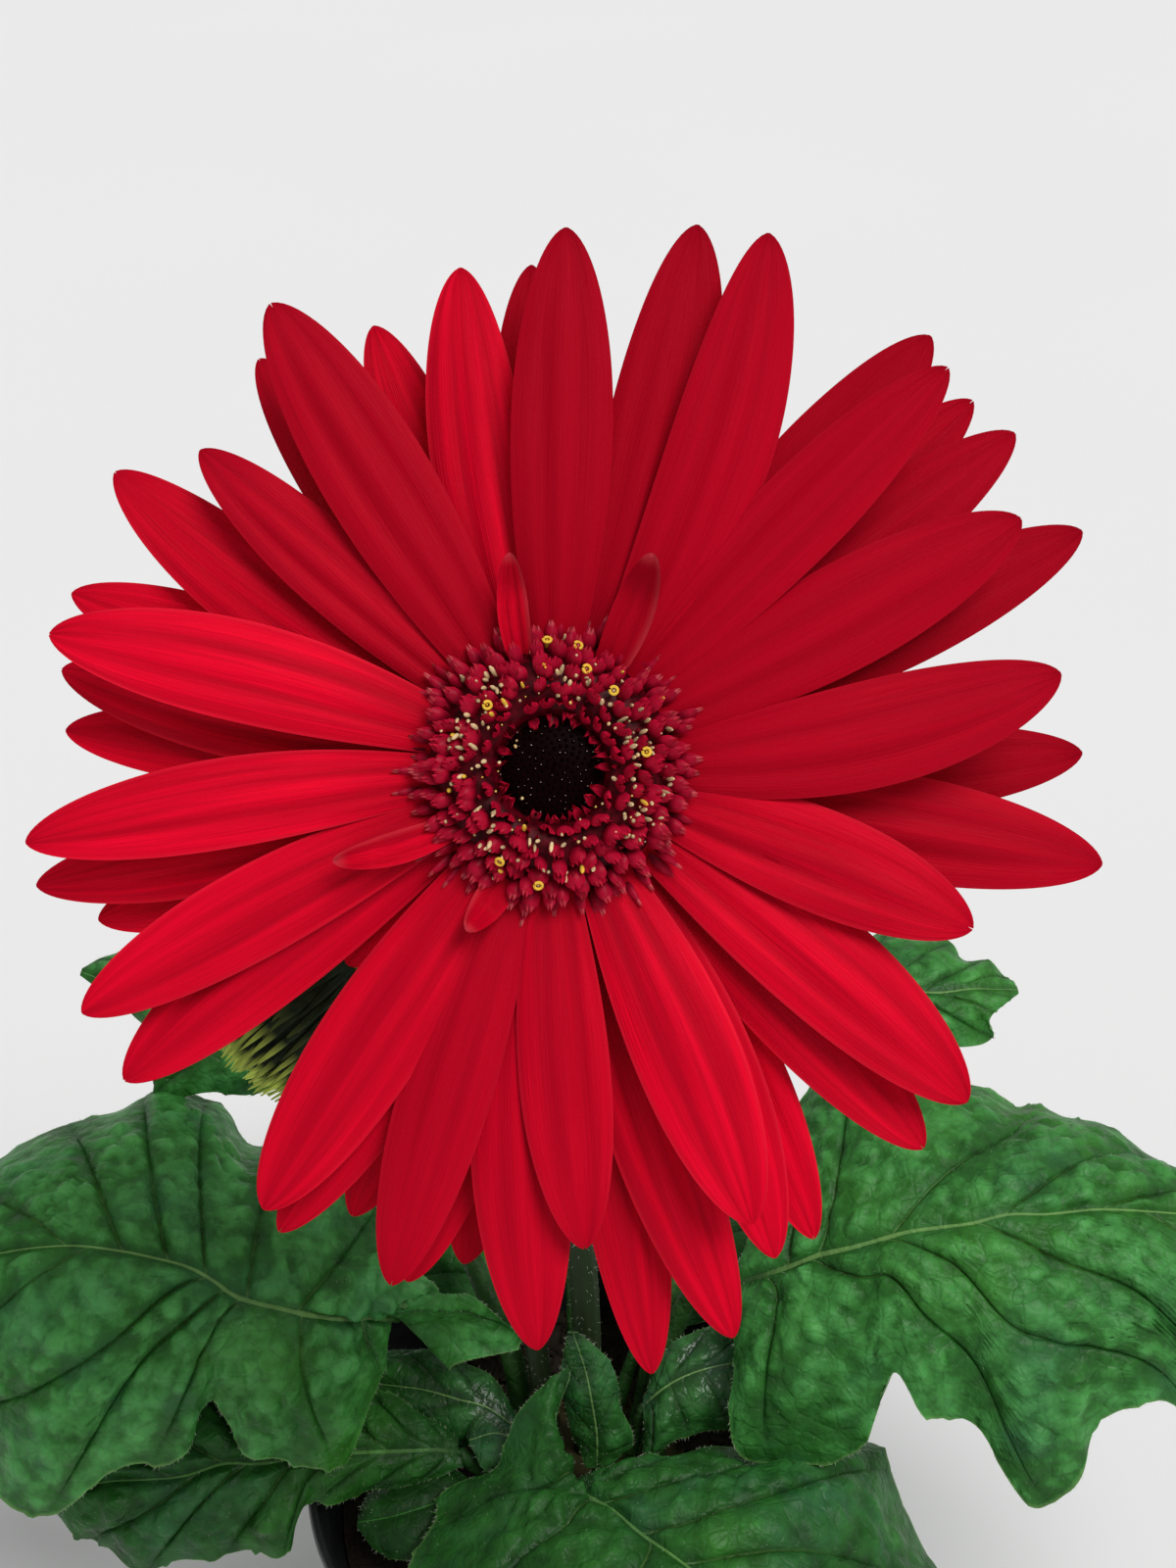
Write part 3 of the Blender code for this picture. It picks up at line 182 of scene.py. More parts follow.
# Leaves. The foot is (distance from the crown's centre in mm, direction in degrees). Via is where the stalk
# then runs. A row of the blade has x, y and z of a point of its left margin as it grows, then of its rib,
# then of its right margin. Points are in mm from the middle of the pot's base
LEAVES = {
    "leaf_right": {
        "foot": (12, 4), "via": ((13, 9, 99), (17, 15, 112), (22, 14, 121)),
        "rows": (
            (26, 12, 127, 26, 9, 126, 25, 6, 124), (34, 26, 134, 34, 8, 131, 25, -2, 117),
            (39, 42, 138, 39, 8, 134, 27, -12, 106), (45, 51, 140, 44, 7, 137, 44.9, -12.9, 110),
            (55, 54, 139, 49, 7, 139, 50.3, -9.3, 125), (63, 51, 138, 54, 7, 141, 56, -13, 119),
            (70, 46, 137, 59, 7, 142, 65, -13, 116), (77, 43, 136, 64, 7, 143, 74, -20, 104),
            (82, 41, 136, 70, 8, 144, 81, -17, 109), (89, 39, 136, 77, 9, 143, 86, -12, 117),
            (98, 34, 134, 86, 11, 142, 96, -10, 119), (110, 29, 131, 99, 13, 139, 112, -12, 104),
            (120, 25, 127, 111, 15, 135, 120, -5, 110), (130, 21, 124, 125, 18, 128, 130, 6, 114),
            (141, 18, 118, 141, 17, 118, 141, 16, 118),
        ),
    },
    "leaf_left": {
        "foot": (12, 175), "via": ((-19, 6, 98), (-28, 16, 108), (-32, 14, 113)),
        "rows": (
            (-35, 7, 117, -33, 9, 118, -23.9, 2.1, 113), (-34, -2, 116, -34, 5, 122, -11, 8, 112),
            (-38, -8, 111, -37, 2, 126, -20, 10, 121), (-40, -12, 105, -40, -1, 129, -24.5, 9.9, 122),
            (-49, -13, 107, -44, -3, 132, -27.3, 11.6, 124), (-55, -14, 110, -47, -4, 134, -28.5, 16.5, 125),
            (-59, -12, 114, -50, -4, 135, -33, 22, 126), (-61, -11, 121, -53, -4, 136, -38, 35, 128),
            (-64, -13, 117, -57, -4, 138, -50, 39, 130), (-68, -17, 112, -60, -3, 140, -59, 37, 131),
            (-78, -17, 111, -64, -1, 141, -66, 43, 133), (-88, -20, 102, -69, 0, 142, -72, 46, 136),
            (-98, -16, 103, -76, 1, 143, -80, 43, 137), (-105, -9, 108, -85, 3, 142, -90, 38, 136),
            (-116, -9, 102, -97, 5, 138, -106, 32, 132), (-122, 0, 109, -110, 7, 131, -119, 25, 127),
            (-134, 9, 115, -134, 10, 115, -134, 11, 115),
        ),
    },
    "leaf_front": {
        "foot": (12, 284), "via": (),
        "rows": (
            (-1, -13, 103, -2, -14, 103, -7.5, -9.5, 105), (5, -12, 105, -1, -16, 104, -2.5, -1.4, 117),
            (11, -10, 104, 0, -18, 105, -10.8, -5.4, 110), (17, -8, 103, 2, -20, 106, -16, -11, 102),
            (27, -6, 101, 5, -22, 106, -25, -14, 99), (38, -4, 99, 9, -26, 106, -25, -19, 98),
            (48.7, -1.4, 98, 14, -30, 106, -30, -26, 96), (52.8, -6, 95, 20, -35, 105, -30, -38, 95),
            (60, -16, 83, 27, -42, 103, -20, -42, 96), (60, -32, 90, 34, -51, 100, -16, -56, 94),
            (72, -50, 79, 42, -63, 94, -10, -70, 84), (66, -66, 80, 49, -75, 86, 12, -68, 91),
            (68, -80, 69, 55, -87, 77, 16, -86, 78), (66, -94, 64, 60, -96, 67, 42, -96, 68),
            (63, -103, 58, 62, -103, 58, 61, -103, 58),
        ),
    },
    "leaf_front_left": {
        "foot": (12, 215), "via": (),
        "rows": (
            (-21, -7, 98, -22, -5, 99, -22, -3, 100), (-29, -10, 97, -26, -6, 101, -28, 0, 103),
            (-35, -10, 96, -32, -7, 102, -36, 3, 105), (-42, -13, 96, -38, -8, 103, -44, 7, 106),
            (-47, -14, 97, -44, -9, 104, -51, 7, 107), (-51, -20, 92, -50, -10, 104, -57, 9, 107),
            (-58, -19, 91, -55, -11, 104, -64, 9, 107), (-67, -19, 89, -61, -11, 104, -70, 8, 106),
            (-75, -19, 86, -68, -12, 102, -77, 5, 105), (-83, -16, 88, -75, -12, 101, -83, 1, 104),
            (-88, -14, 90, -82, -11, 99, -88, -3, 102), (-93, -12, 95, -93, -11, 95, -93, -10, 95),
        ),
    },
    "leaf_right_back": {
        "foot": (12, 38), "via": ((15, 20, 109), (31, 50, 132)),
        "rows": (
            (43, 64, 140, 44, 62, 140, 44, 59, 139), (51, 72, 146, 49, 60, 145, 51, 53, 142),
            (59, 76, 149, 54, 58, 148, 59, 51, 143), (67, 72, 150, 60, 57, 150, 68, 50, 143),
            (71, 67, 150, 65, 57, 150, 75, 53, 142), (76, 66, 149, 71, 58, 150, 74, 54, 146),
            (79, 63, 148, 75, 59, 149, 77, 56, 148), (80, 61, 148, 80, 60, 148, 80, 59, 148),
        ),
    },
    "leaf_left_back": {
        "foot": (12, 150), "via": ((-15, 15, 108), (-34, 44, 130)),
        "rows": (
            (-48, 52, 138, -48, 54, 138, -48, 56, 139), (-55, 46, 137, -53, 53, 142, -56, 62, 144),
            (-61, 44, 137, -59, 52, 145, -64, 64, 148), (-68, 43, 138, -65, 51, 147, -70, 66, 150),
            (-78, 43, 138, -71, 51, 148, -76, 67, 151), (-76, 46, 145, -77, 53, 149, -82, 67, 152),
            (-81, 52, 147, -83, 57, 150, -87, 67, 152), (-94, 63, 149, -94, 64, 149, -94, 65, 149),
        ),
    },
    "leaf_back": {
        "foot": (12, 94), "via": ((-2, 30, 112),),
        "rows": (
            (-6, 41, 123, -3, 41, 124, 0, 41, 123), (-22, 48, 124, -4, 48, 128, 15, 47, 123),
            (-16, 56, 130, -5, 56, 131, 8, 55, 129), (-38, 74, 122, -6, 65, 133, 27, 72, 120),
            (-26, 84, 128, -7, 78, 132, 14, 82, 127), (-38, 100, 112, -8, 90, 128, 22, 98, 112),
            (-22, 110, 114, -8, 103, 121, 8, 108, 114), (-9, 124, 102, -8, 124, 102, -7, 124, 102),
        ),
    },
    "leaf_mid_left": {
        "foot": (12, 122), "via": (),
        "rows": (
            (-11, 18, 100, -10, 20, 100, -8, 21, 100), (-23, 23, 103, -14, 28, 104, -3, 31, 104),
            (-34, 29, 103, -18, 37, 107, -3, 43, 105), (-29, 38, 104, -22, 47, 107, -9, 50, 105),
            (-41, 48, 99, -26, 58, 103, -11, 63, 99), (-30, 72, 94, -31, 72, 94, -32, 72, 94),
        ),
    },
    "leaf_mid_right": {
        "foot": (12, 66), "via": (),
        "rows": (
            (8, 22, 100, 10, 20, 100, 11, 18, 100), (5, 32, 104, 15, 27, 104, 24, 21, 104),
            (9, 45, 105, 21, 35, 107, 35, 25, 105), (16, 48, 106, 27, 43, 107, 34, 36, 106),
            (22, 62, 99, 34, 51, 104, 46, 42, 101), (42, 61, 96, 42, 60, 96, 42, 59, 96),
        ),
    },
    "leaf_low_left": {
        "foot": (12, 243), "via": (),
        "rows": (
            (-15, -13, 93, -16, -12, 94, -17, -10, 94), (-20, -19, 92, -22, -12, 96, -25, -5, 96),
            (-28, -21, 92, -28, -14, 96, -32, -7, 95), (-34, -20, 91, -33, -15, 95, -37, -9, 94),
            (-39, -15, 92, -39, -14, 92, -39, -13, 92),
        ),
    },
    "leaf_young_left": {
        "foot": (7, 208), "via": (),
        "rows": (
            (-11, -3, 99, -11, -1, 99, -11, 1, 99), (-18, -2, 99, -17, 2, 102, -16, 7, 103),
            (-22, -2, 96, -22, 3, 103, -22, 10, 105), (-30, 1, 99, -28, 5, 103, -28, 12, 105),
            (-36, 3, 100, -34, 6, 103, -35, 12, 105), (-42, 7, 102, -42, 8, 102, -42, 9, 102),
        ),
    },
    "leaf_young_front_left": {
        "foot": (7, 262), "via": (),
        "rows": (
            (-6, -9, 96, -7, -8, 97, -8, -7, 97), (-9, -11, 98, -11, -6, 102, -14, -2, 100),
            (-16, -9, 98, -15, -4, 103, -17, -2, 103), (-20, -5, 101, -20, -4, 101, -20, -3, 101),
        ),
    },
    "leaf_young_centre": {
        "foot": (3.5, 320), "via": (),
        "rows": (
            (0, -8, 99, 2, -8, 99, 4, -8, 99), (-2, -4, 103, 2, -6, 105, 8, -5, 102),
            (-4, -2, 110, 1, -4, 112, 6, -2, 109), (-4, 0, 116, 0, -2, 117, 4, 0, 117),
            (-3, 0, 124, -2, 0, 124, -1, 0, 124),
        ),
    },
    "leaf_young_right": {
        "foot": (7.5, 345), "via": (),
        "rows": (
            (10, 1, 106, 10, 0, 105, 10, -2, 104), (15, 7, 113, 14, 1, 109, 11, -7, 98),
            (20, 9, 114, 18, 2, 111, 16, -4, 102), (26, 10, 114, 23, 3, 112, 21, -4, 103),
            (32, 10, 113, 29, 4, 112, 27, -3, 104), (37, 10, 111, 34, 5, 110, 34, 0, 104),
            (41, 8, 108, 41, 7, 108, 41, 6, 108),
        ),
    },
}

# How light a leaf is painted, where it isn't 1: most of these get painted shade, as they lie in the shade of
# others
LEAF_PAINTED_LIGHT = {
    "leaf_left": 1.08,
    "leaf_low_left": 0.05,
    "leaf_front_left": 0.4,
    "leaf_front": 0.58,
    "leaf_mid_left": 0.5,
    "leaf_mid_right": 0.5,
}

# Lateral veins of the leaves that show most, left half first, as (row where a vein leaves the rib, row where
# it meets the margin)
VEINS = {
    "leaf_right": (
        ((1, 1.4), (2, 3.6), (4.3, 8.3), (7.8, 10.6), (10, 11.7), (11.4, 12.8)),
        ((0.4, 2.3), (1.7, 7.4), (4, 10.7), (7.1, 12.2), (10.6, 13.2)),
    ),
    "leaf_left": (
        ((2.2, 1), (4.8, 3.2), (7.6, 9.4), (8.4, 11.2), (9.3, 13.4), (12.6, 14.6)),
        ((1, 1.2), (5, 6.5), (7.5, 8.6), (9.4, 10.6), (10.8, 12), (11.9, 13.2), (13, 14.6)),
    ),
    "leaf_front": (
        ((1, 3), (3.2, 5), (5, 7), (6.3, 8.5), (8.4, 10.2), (10.4, 12)),
        ((0.5, 5.2), (2.5, 8), (5.3, 10), (8, 11.6), (10.2, 12.8)),
    ),
}

# Where a lobe stands on a narrow neck: (leaf, half) and how far its middle bends aside, as (row, shift in mm)
BENDS = {("leaf_front", 1): ((1, (-6.0, 0, -1.0)),)}
# Blender's vector noise starts from the clock unless its seed is set
NOISE_SEED = 7
# How far a half blade bulges, as a share of its reach from rib to margin
CAMBER = 0.13
LEAF_THICK = 0.5 * MM
# A blade with fewer rows than these is small, or young
SMALL_ROWS = 10
YOUNG_ROWS = 8
# Steps of the curves between two rows, and teeth of the margin in each
FINE = 24
MARGIN_TEETH = 1.25
# What differs between small blades and others: columns from rib to margin, rows of the mesh for each row in
# the table, height of the teeth, and shares of the quilting and of the veins' colour
SMALL = {"columns": 20, "density": 12, "tooth": 0.4 * MM, "quilt": 0.45, "vein": 0.12}
LARGE = {"columns": 42, "density": 11, "tooth": 0.8 * MM, "quilt": 1.0, "vein": 0.32}
CREASE_WIDTH = 0.34 * MM
VEIN_WIDTH = 0.18 * MM
# The quilting starts this far from the rib, and a blade narrower than this has less of it
QUILT_START = 2.6 * MM
FULL_REACH = 15 * MM
# Irregular cells and lumps of the quilting: how fine they are, in waves a metre, and how far cells are warped
CELL_SCALE = 200.0
WARP_SCALE = 90.0
WARP = 2.4 * MM
LUMP_SCALE = 260.0
LUMP_HEIGHT = 0.26 * MM
MARGIN_WAVE = 0.75 * MM
STALK_RADIUS = 2.1 * MM
YOUNG_STALK_RADIUS = 1.5 * MM
RIB_PROUD = 0.03 * MM

# Hairs: the distance between them on a margin, their number for each point of a blade's mesh, their number on
# each flower stalk, and their radii there
HAIR_SPACING = 0.7 * MM
BLADE_HAIRS = 0.035
SCAPE_HAIRS = 900
MARGIN_HAIR = 0.03 * MM
BLADE_HAIR = 0.022 * MM
SCAPE_HAIR = 0.035 * MM
HAIR_LOOK = (0.5, 0, 0, 0)

# Flower stalks
SCAPE_RADIUS = 2.6 * MM
SCAPE_FOOT = (0.5, 5)
SCAPE_ROUTE = ((0, 7, 120), (-2, 8, 165), (-2, 7, 210), (-2, -2, 238))
BUD_CENTRE = np.array((-38.5, -14, 209)) * MM
BUD_AXIS = (-0.76, -0.26, -0.60)
BUD_SCAPE_RADIUS = 2.0 * MM
BUD_FOOT = (-5.8, 1.6)
BUD_ROUTE = ((-10, 12, 120), (-14, 19, 160), (-17, 20, 200), (-20, 10, 221))
CUP_SOCKET = -10 * MM
BUD_SOCKET = -6.5 * MM
HEAD_LEAD = 9 * MM
SCAPE_SIDES = 40

# Rows of florets from the eye outwards, as (ring radius in mm, number, height of the root in mm, length in
# mm, lean outwards in degrees from upright, half width in mm, how pointed it is, how pale its tip is)
FLORET_ROWS = (
    (6.1, 19, 4.3, 2.4, -42, 0.62, 0.2, 0.0),
    (6.7, 21, 4.9, 2.6, 6, 0.95, 0.0, 0.0),
    (7.9, 25, 5.6, 2.8, 36, 1.00, 0.0, 0.0),
    (9.0, 29, 5.5, 2.9, 46, 1.02, 0.0, 0.0),
    (10.1, 33, 5.1, 3.0, 54, 1.00, 0.0, 0.0),
    (11.1, 36, 4.5, 3.1, 60, 0.92, 0.1, 0.1),
    (12.0, 39, 3.8, 3.2, 66, 0.82, 0.1, 0.3),
    (12.8, 42, 3.1, 3.3, 72, 0.72, 0.2, 0.7),
    (13.6, 42, 2.5, 3.8, 78, 0.58, 0.4, 0.9),
)
# The bed that the florets stand on and the dome of the eye, as (radius, height) in mm
FLORET_BED = (
    (0, 2.3), (5.6, 2.3), (5.9, 3.6), (6.9, 4.6), (8.8, 5.0), (11.0, 4.2), (12.6, 2.9), (13.2, 2.0), (0, 2.0),
)
EYE_DOME = ((0, 2.3), (5.4, 2.3), (5.4, 3.2), (4.4, 3.75), (3.0, 4.15), (1.5, 4.4), (0.4, 4.45), (0, 4.45))
LIP_THICK = 0.16 * MM
# The share of florets with an inner lobe
INNER_LOBES = 0.7
# Numbers of anthers, loose grains and unopened florets, and how often an anther is ripe or an open ring
ANTHERS = 150
RIPE_EVERY = 9
OPEN_EVERY = 21
POLLEN_GRAINS = 46
EYE_BUTTONS = 190
EYE_RADIUS = 5.3
GOLDEN_ANGLE = 137.508

# The cup behind the bloom and the bud, as (radius, height) in mm
CUP = ((4.2, -13), (8.0, -10.8), (10.6, -7.4), (11.6, -4.4), (11.2, -2.6))
BUD = ((3.0, -9), (6.2, -6.6), (8.2, -3.6), (9.0, 1.0), (8.0, 5.4), (4.6, 9.0))
# Their bracts in rows, as (number, foot, middle and tip as (radius, height) in mm, half width in mm, how pale
# the tip is)
CUP_BRACTS = (
    (22, (3.8, -13.2), (7.6, -11.6), (10.8, -8.6), 1.25, 0.5),
    (26, (6.4, -11.9), (10.2, -9.2), (12.8, -5.6), 1.3, 0.6),
    (28, (8.9, -10.2), (11.9, -6.6), (14.4, -4.6), 1.3, 0.8),
)
BUD_BRACTS = (
    (40, (3.4, -9.2), (7.4, -6.0), (9.7, -1.2), 0.55, 0.0),
    (46, (6.4, -6.9), (9.4, -1.4), (10.1, 4.4), 0.55, 0.1),
    (50, (8.2, -3.6), (9.9, 1.8), (9.8, 8.2), 0.52, 0.6),
    (46, (8.9, -0.4), (9.3, 5.0), (8.4, 11.2), 0.50, 0.9),
    (38, (8.6, 2.4), (8.0, 7.0), (6.2, 12.4), 0.48, 1.0),
    (28, (7.2, 5.0), (6.0, 8.8), (3.9, 12.8), 0.48, 1.0),
    (18, (5.2, 7.6), (3.6, 10.0), (1.6, 12.6), 0.48, 0.8),
)
BRACT_THICK = 0.22 * MM


def polar(radius, degrees, height=0.0):
    """The place at this distance from the Z axis, in this direction."""
    angle = math.radians(degrees)
    return np.array((radius * math.cos(angle), radius * math.sin(angle), height))


def unit(vectors):
    """The vectors at length one."""
    length = np.linalg.norm(vectors, axis=-1, keepdims=True)
    return vectors / np.maximum(length, 1e-12)


def ramp(x, low, high):
    """A smooth step from 0 at low to 1 at high."""
    t = np.clip((x - low) / (high - low), 0, 1)
    return t * t * (3 - 2 * t)


def spline(points, steps):
    """A smooth curve through the points, with this many steps between each two."""
    points = np.asarray(points, float)
    ends = np.concatenate([[2 * points[0] - points[1]], points, [2 * points[-1] - points[-2]]])
    a, b, c, d = (ends[k:len(ends) - 3 + k, None] for k in range(4))
    t = (np.arange(steps) / steps)[None, :, None]
    near = a * (-t + 2 * t**2 - t**3) + b * (2 - 5 * t**2 + 3 * t**3)
    far = c * (t + 4 * t**2 - 3 * t**3) + d * (t**3 - t**2)
    return np.concatenate([((near + far) / 2).reshape(-1, 3), points[-1:]])


def spaced(line, count):
    """The line again, with this many points at even distances."""
    reached = np.concatenate([[0], np.cumsum(np.linalg.norm(np.diff(line, axis=0), axis=1))])
    wanted = np.linspace(0, reached[-1], count)
    return np.stack([np.interp(wanted, reached, line[:, k]) for k in range(3)], axis=1)


def across(line, hint):
    """The headings of a line, and two ways across it that don't twist, the first of them near hint."""
    heading = unit(np.gradient(line, axis=0))
    side = np.empty_like(line)
    last = np.asarray(hint, float)
    for k, along in enumerate(heading):
        last = unit(last - along * (last @ along))
        side[k] = last
    return heading, side, np.cross(side, heading)


def axes_along(point, heading):
    """Axes at this point with Z along the heading, as a 4 by 4 array."""
    turn = Vector(heading).to_track_quat("Z", "Y").to_matrix().to_4x4()
    return np.array(Matrix.Translation(point) @ turn)


def bloom_axes():
    """The bloom's own axes: X to the right, Y up its face and Z out of its face."""
    out = np.array((0, -math.cos(BLOOM_LIFT), math.sin(BLOOM_LIFT)))
    right = np.array((1.0, 0, 0))
    axes = np.eye(4)
    axes[:3, :3] = np.stack([right, np.cross(out, right), out], axis=1)
    axes[:3, 3] = BLOOM_CENTRE
    return axes


def bud_axes():
    """The bud's own axes, with Z out of its tip."""
    return axes_along(BUD_CENTRE, BUD_AXIS)


class Shape:
    """Points and faces that become one mesh, with four values a point for its material to read."""

    def __init__(self, axes=None):
        self.axes = np.eye(4) if axes is None else axes
        self.points = []
        self.looks = []
        self.quads = []
        self.triangles = []
        self.count = 0

    def add(self, points, quads, triangles, look):
        """Adds one closed form, turned the right way out."""
        points = np.asarray(points, float).reshape(-1, 3)
        quads = np.asarray(quads, int).reshape(-1, 4)
        triangles = np.asarray(triangles, int).reshape(-1, 3)
        corners = np.concatenate([quads[:, :3], quads[:, [0, 2, 3]], triangles])
        centred = points - points.mean(axis=0)
        a, b, c = (centred[corners[:, k]] for k in range(3))
        if np.einsum("ij,ij->", a, np.cross(b, c)) < 0:
            quads = quads[:, ::-1]
            triangles = triangles[:, ::-1]
        self.points.append(points)
        look = np.asarray(look, float)
        self.looks.append(look.reshape(-1, 4) if look.ndim > 1 else np.tile(look, (len(points), 1)))
        self.quads.append(quads + self.count)
        self.triangles.append(triangles + self.count)
        self.count += len(points)

    def sheet(self, top, bottom, look, under):
        """A thin sheet between two grids of points."""
        rows, columns = top.shape[:2]
        index = np.arange(rows * columns).reshape(rows, columns)
        corners = (index[:-1, :-1], index[:-1, 1:], index[1:, 1:], index[1:, :-1])
        cells = np.stack(corners, axis=-1).reshape(-1, 4)
        rim = np.concatenate([index[0, :], index[1:, -1], index[-1, -2::-1], index[-2:0:-1, 0]])
        following = np.roll(rim, -1)
        size = rows * columns
        sides = np.stack([following, rim, rim + size, following + size], axis=-1)
        quads = np.concatenate([cells, cells[:, ::-1] + size, sides])
        looks = np.concatenate([look.reshape(-1, 4), under.reshape(-1, 4)])
        self.add(np.concatenate([top.reshape(-1, 3), bottom.reshape(-1, 3)]), quads, [], looks)

    def rings(self, points, look):
        """A closed tube from rings of points, with flat ends."""
        rows, columns = points.shape[:2]
        index = np.arange(rows * columns).reshape(rows, columns)
        turned = np.roll(index, -1, axis=1)
        quads = np.stack([index[:-1], turned[:-1], turned[1:], index[1:]], axis=-1).reshape(-1, 4)
        centres = np.stack([points[0].mean(axis=0), points[-1].mean(axis=0)])
        first = np.stack([turned[0], index[0], np.full(columns, index.size)], axis=-1)
        last = np.stack([index[-1], turned[-1], np.full(columns, index.size + 1)], axis=-1)
        look = np.broadcast_to(look, (rows, columns, 4))
        looks = np.concatenate([look.reshape(-1, 4), look[0, :1], look[-1, :1]])
        points = np.concatenate([points.reshape(-1, 3), centres])
        self.add(points, quads, np.concatenate([first, last]), looks)

    def tube(self, line, radius, sides, look, hint=(1, 0, 0)):
        """A round tube along a line, with a radius for each of its points."""
        _, side, up = across(line, hint)
        angle = np.linspace(0, TAU, sides, endpoint=False)[None, :, None]
        ring = side[:, None] * np.cos(angle) + up[:, None] * np.sin(angle)
        look = np.asarray(look, float)
        look = look[:, None] if look.ndim == 2 else look
        self.rings(line[:, None] + ring * np.reshape(radius, (-1, 1, 1)), look)

    def stub(self, foot, way, length, radii, sides, look):
        """A short straight tube with these radii from its foot on. Gives the place where it ends."""
        line = foot + way * length * np.linspace(0, 1, len(radii))[:, None]
        self.tube(line, radii, sides, look)
        return line[-1]

    def turned(self, profile, sides, look):
        """A form turned about Z from (radius, height) points that run from axis to axis."""
        angle = np.linspace(0, TAU, sides, endpoint=False)
        profile = np.asarray(profile, float)[1:-1]
        radius, height = profile[:, :1], profile[:, 1:]
        points = np.stack([radius * np.cos(angle), radius * np.sin(angle), height + 0 * angle], axis=-1)
        self.rings(points, look)

    def spikes(self, roots, tips, radius, look):
        """Fine three-sided hairs from roots to tips."""
        along = unit(tips - roots)
        side = unit(np.cross(along, (0.31, 0.52, 0.79)))
        other = np.cross(along, side)
        points = np.empty((len(roots), 4, 3))
        for k in range(3):
            points[:, k] = roots + (side * math.cos(TAU * k / 3) + other * math.sin(TAU * k / 3)) * radius
        points[:, 3] = tips
        pattern = np.array(((0, 1, 3), (1, 2, 3), (2, 0, 3), (2, 1, 0)))
        faces = (4 * np.arange(len(roots)))[:, None, None] + pattern
        self.add(points, [], faces, look)

    def lump(self, centre, sizes, chance, look, rough=0.25):
        """A small irregular grain."""
        turn = Matrix.Rotation(chance.uniform(0, TAU), 3, Vector((chance.random(), chance.random(), 0.5)))
        scale = np.array([1 + chance.uniform(-rough, rough) for _ in GRAIN_POINTS])[:, None]
        points = (GRAIN_POINTS * scale * np.asarray(sizes)) @ np.array(turn).T + centre
        self.add(points, [], GRAIN_FACES, look)

    def piece(self, name, finish, slot=None, nodes=()):
        """The mesh as a piece of the scene that rides on the frame and stands for these nodes."""
        points = np.concatenate(self.points) @ self.axes[:3, :3].T + self.axes[:3, 3]
        mesh = bpy.data.meshes.new(name)
        faces = np.concatenate(self.quads).tolist() + np.concatenate(self.triangles).tolist()
        mesh.from_pydata(points.tolist(), [], faces)
        look = mesh.attributes.new("look", "FLOAT_COLOR", "POINT")
        look.data.foreach_set("color", np.concatenate(self.looks).ravel())
        mesh.shade_smooth()
        mesh.set_sharp_from_angle(angle=math.radians(55))
        mesh.materials.append(finish)
        made = bpy.data.objects.new(name, mesh)
        bpy.context.scene.collection.objects.link(made)
        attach(made, "root")
        if nodes:
            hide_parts(*nodes)
        return made


def grain():
    """The points and faces of a round grain with twenty sides."""
    shape = bmesh.new()
    bmesh.ops.create_icosphere(shape, subdivisions=1, radius=1)
    points = np.array([v.co[:] for v in shape.verts])
    faces = np.array([[v.index for v in f.verts] for f in shape.faces])
    shape.free()
    return points, faces


GRAIN_POINTS, GRAIN_FACES = grain()


# Sockets of a Mix node that mixes colours
MIX_SHARE, MIX_A, MIX_B, MIX_RESULT = 0, 6, 7, 2


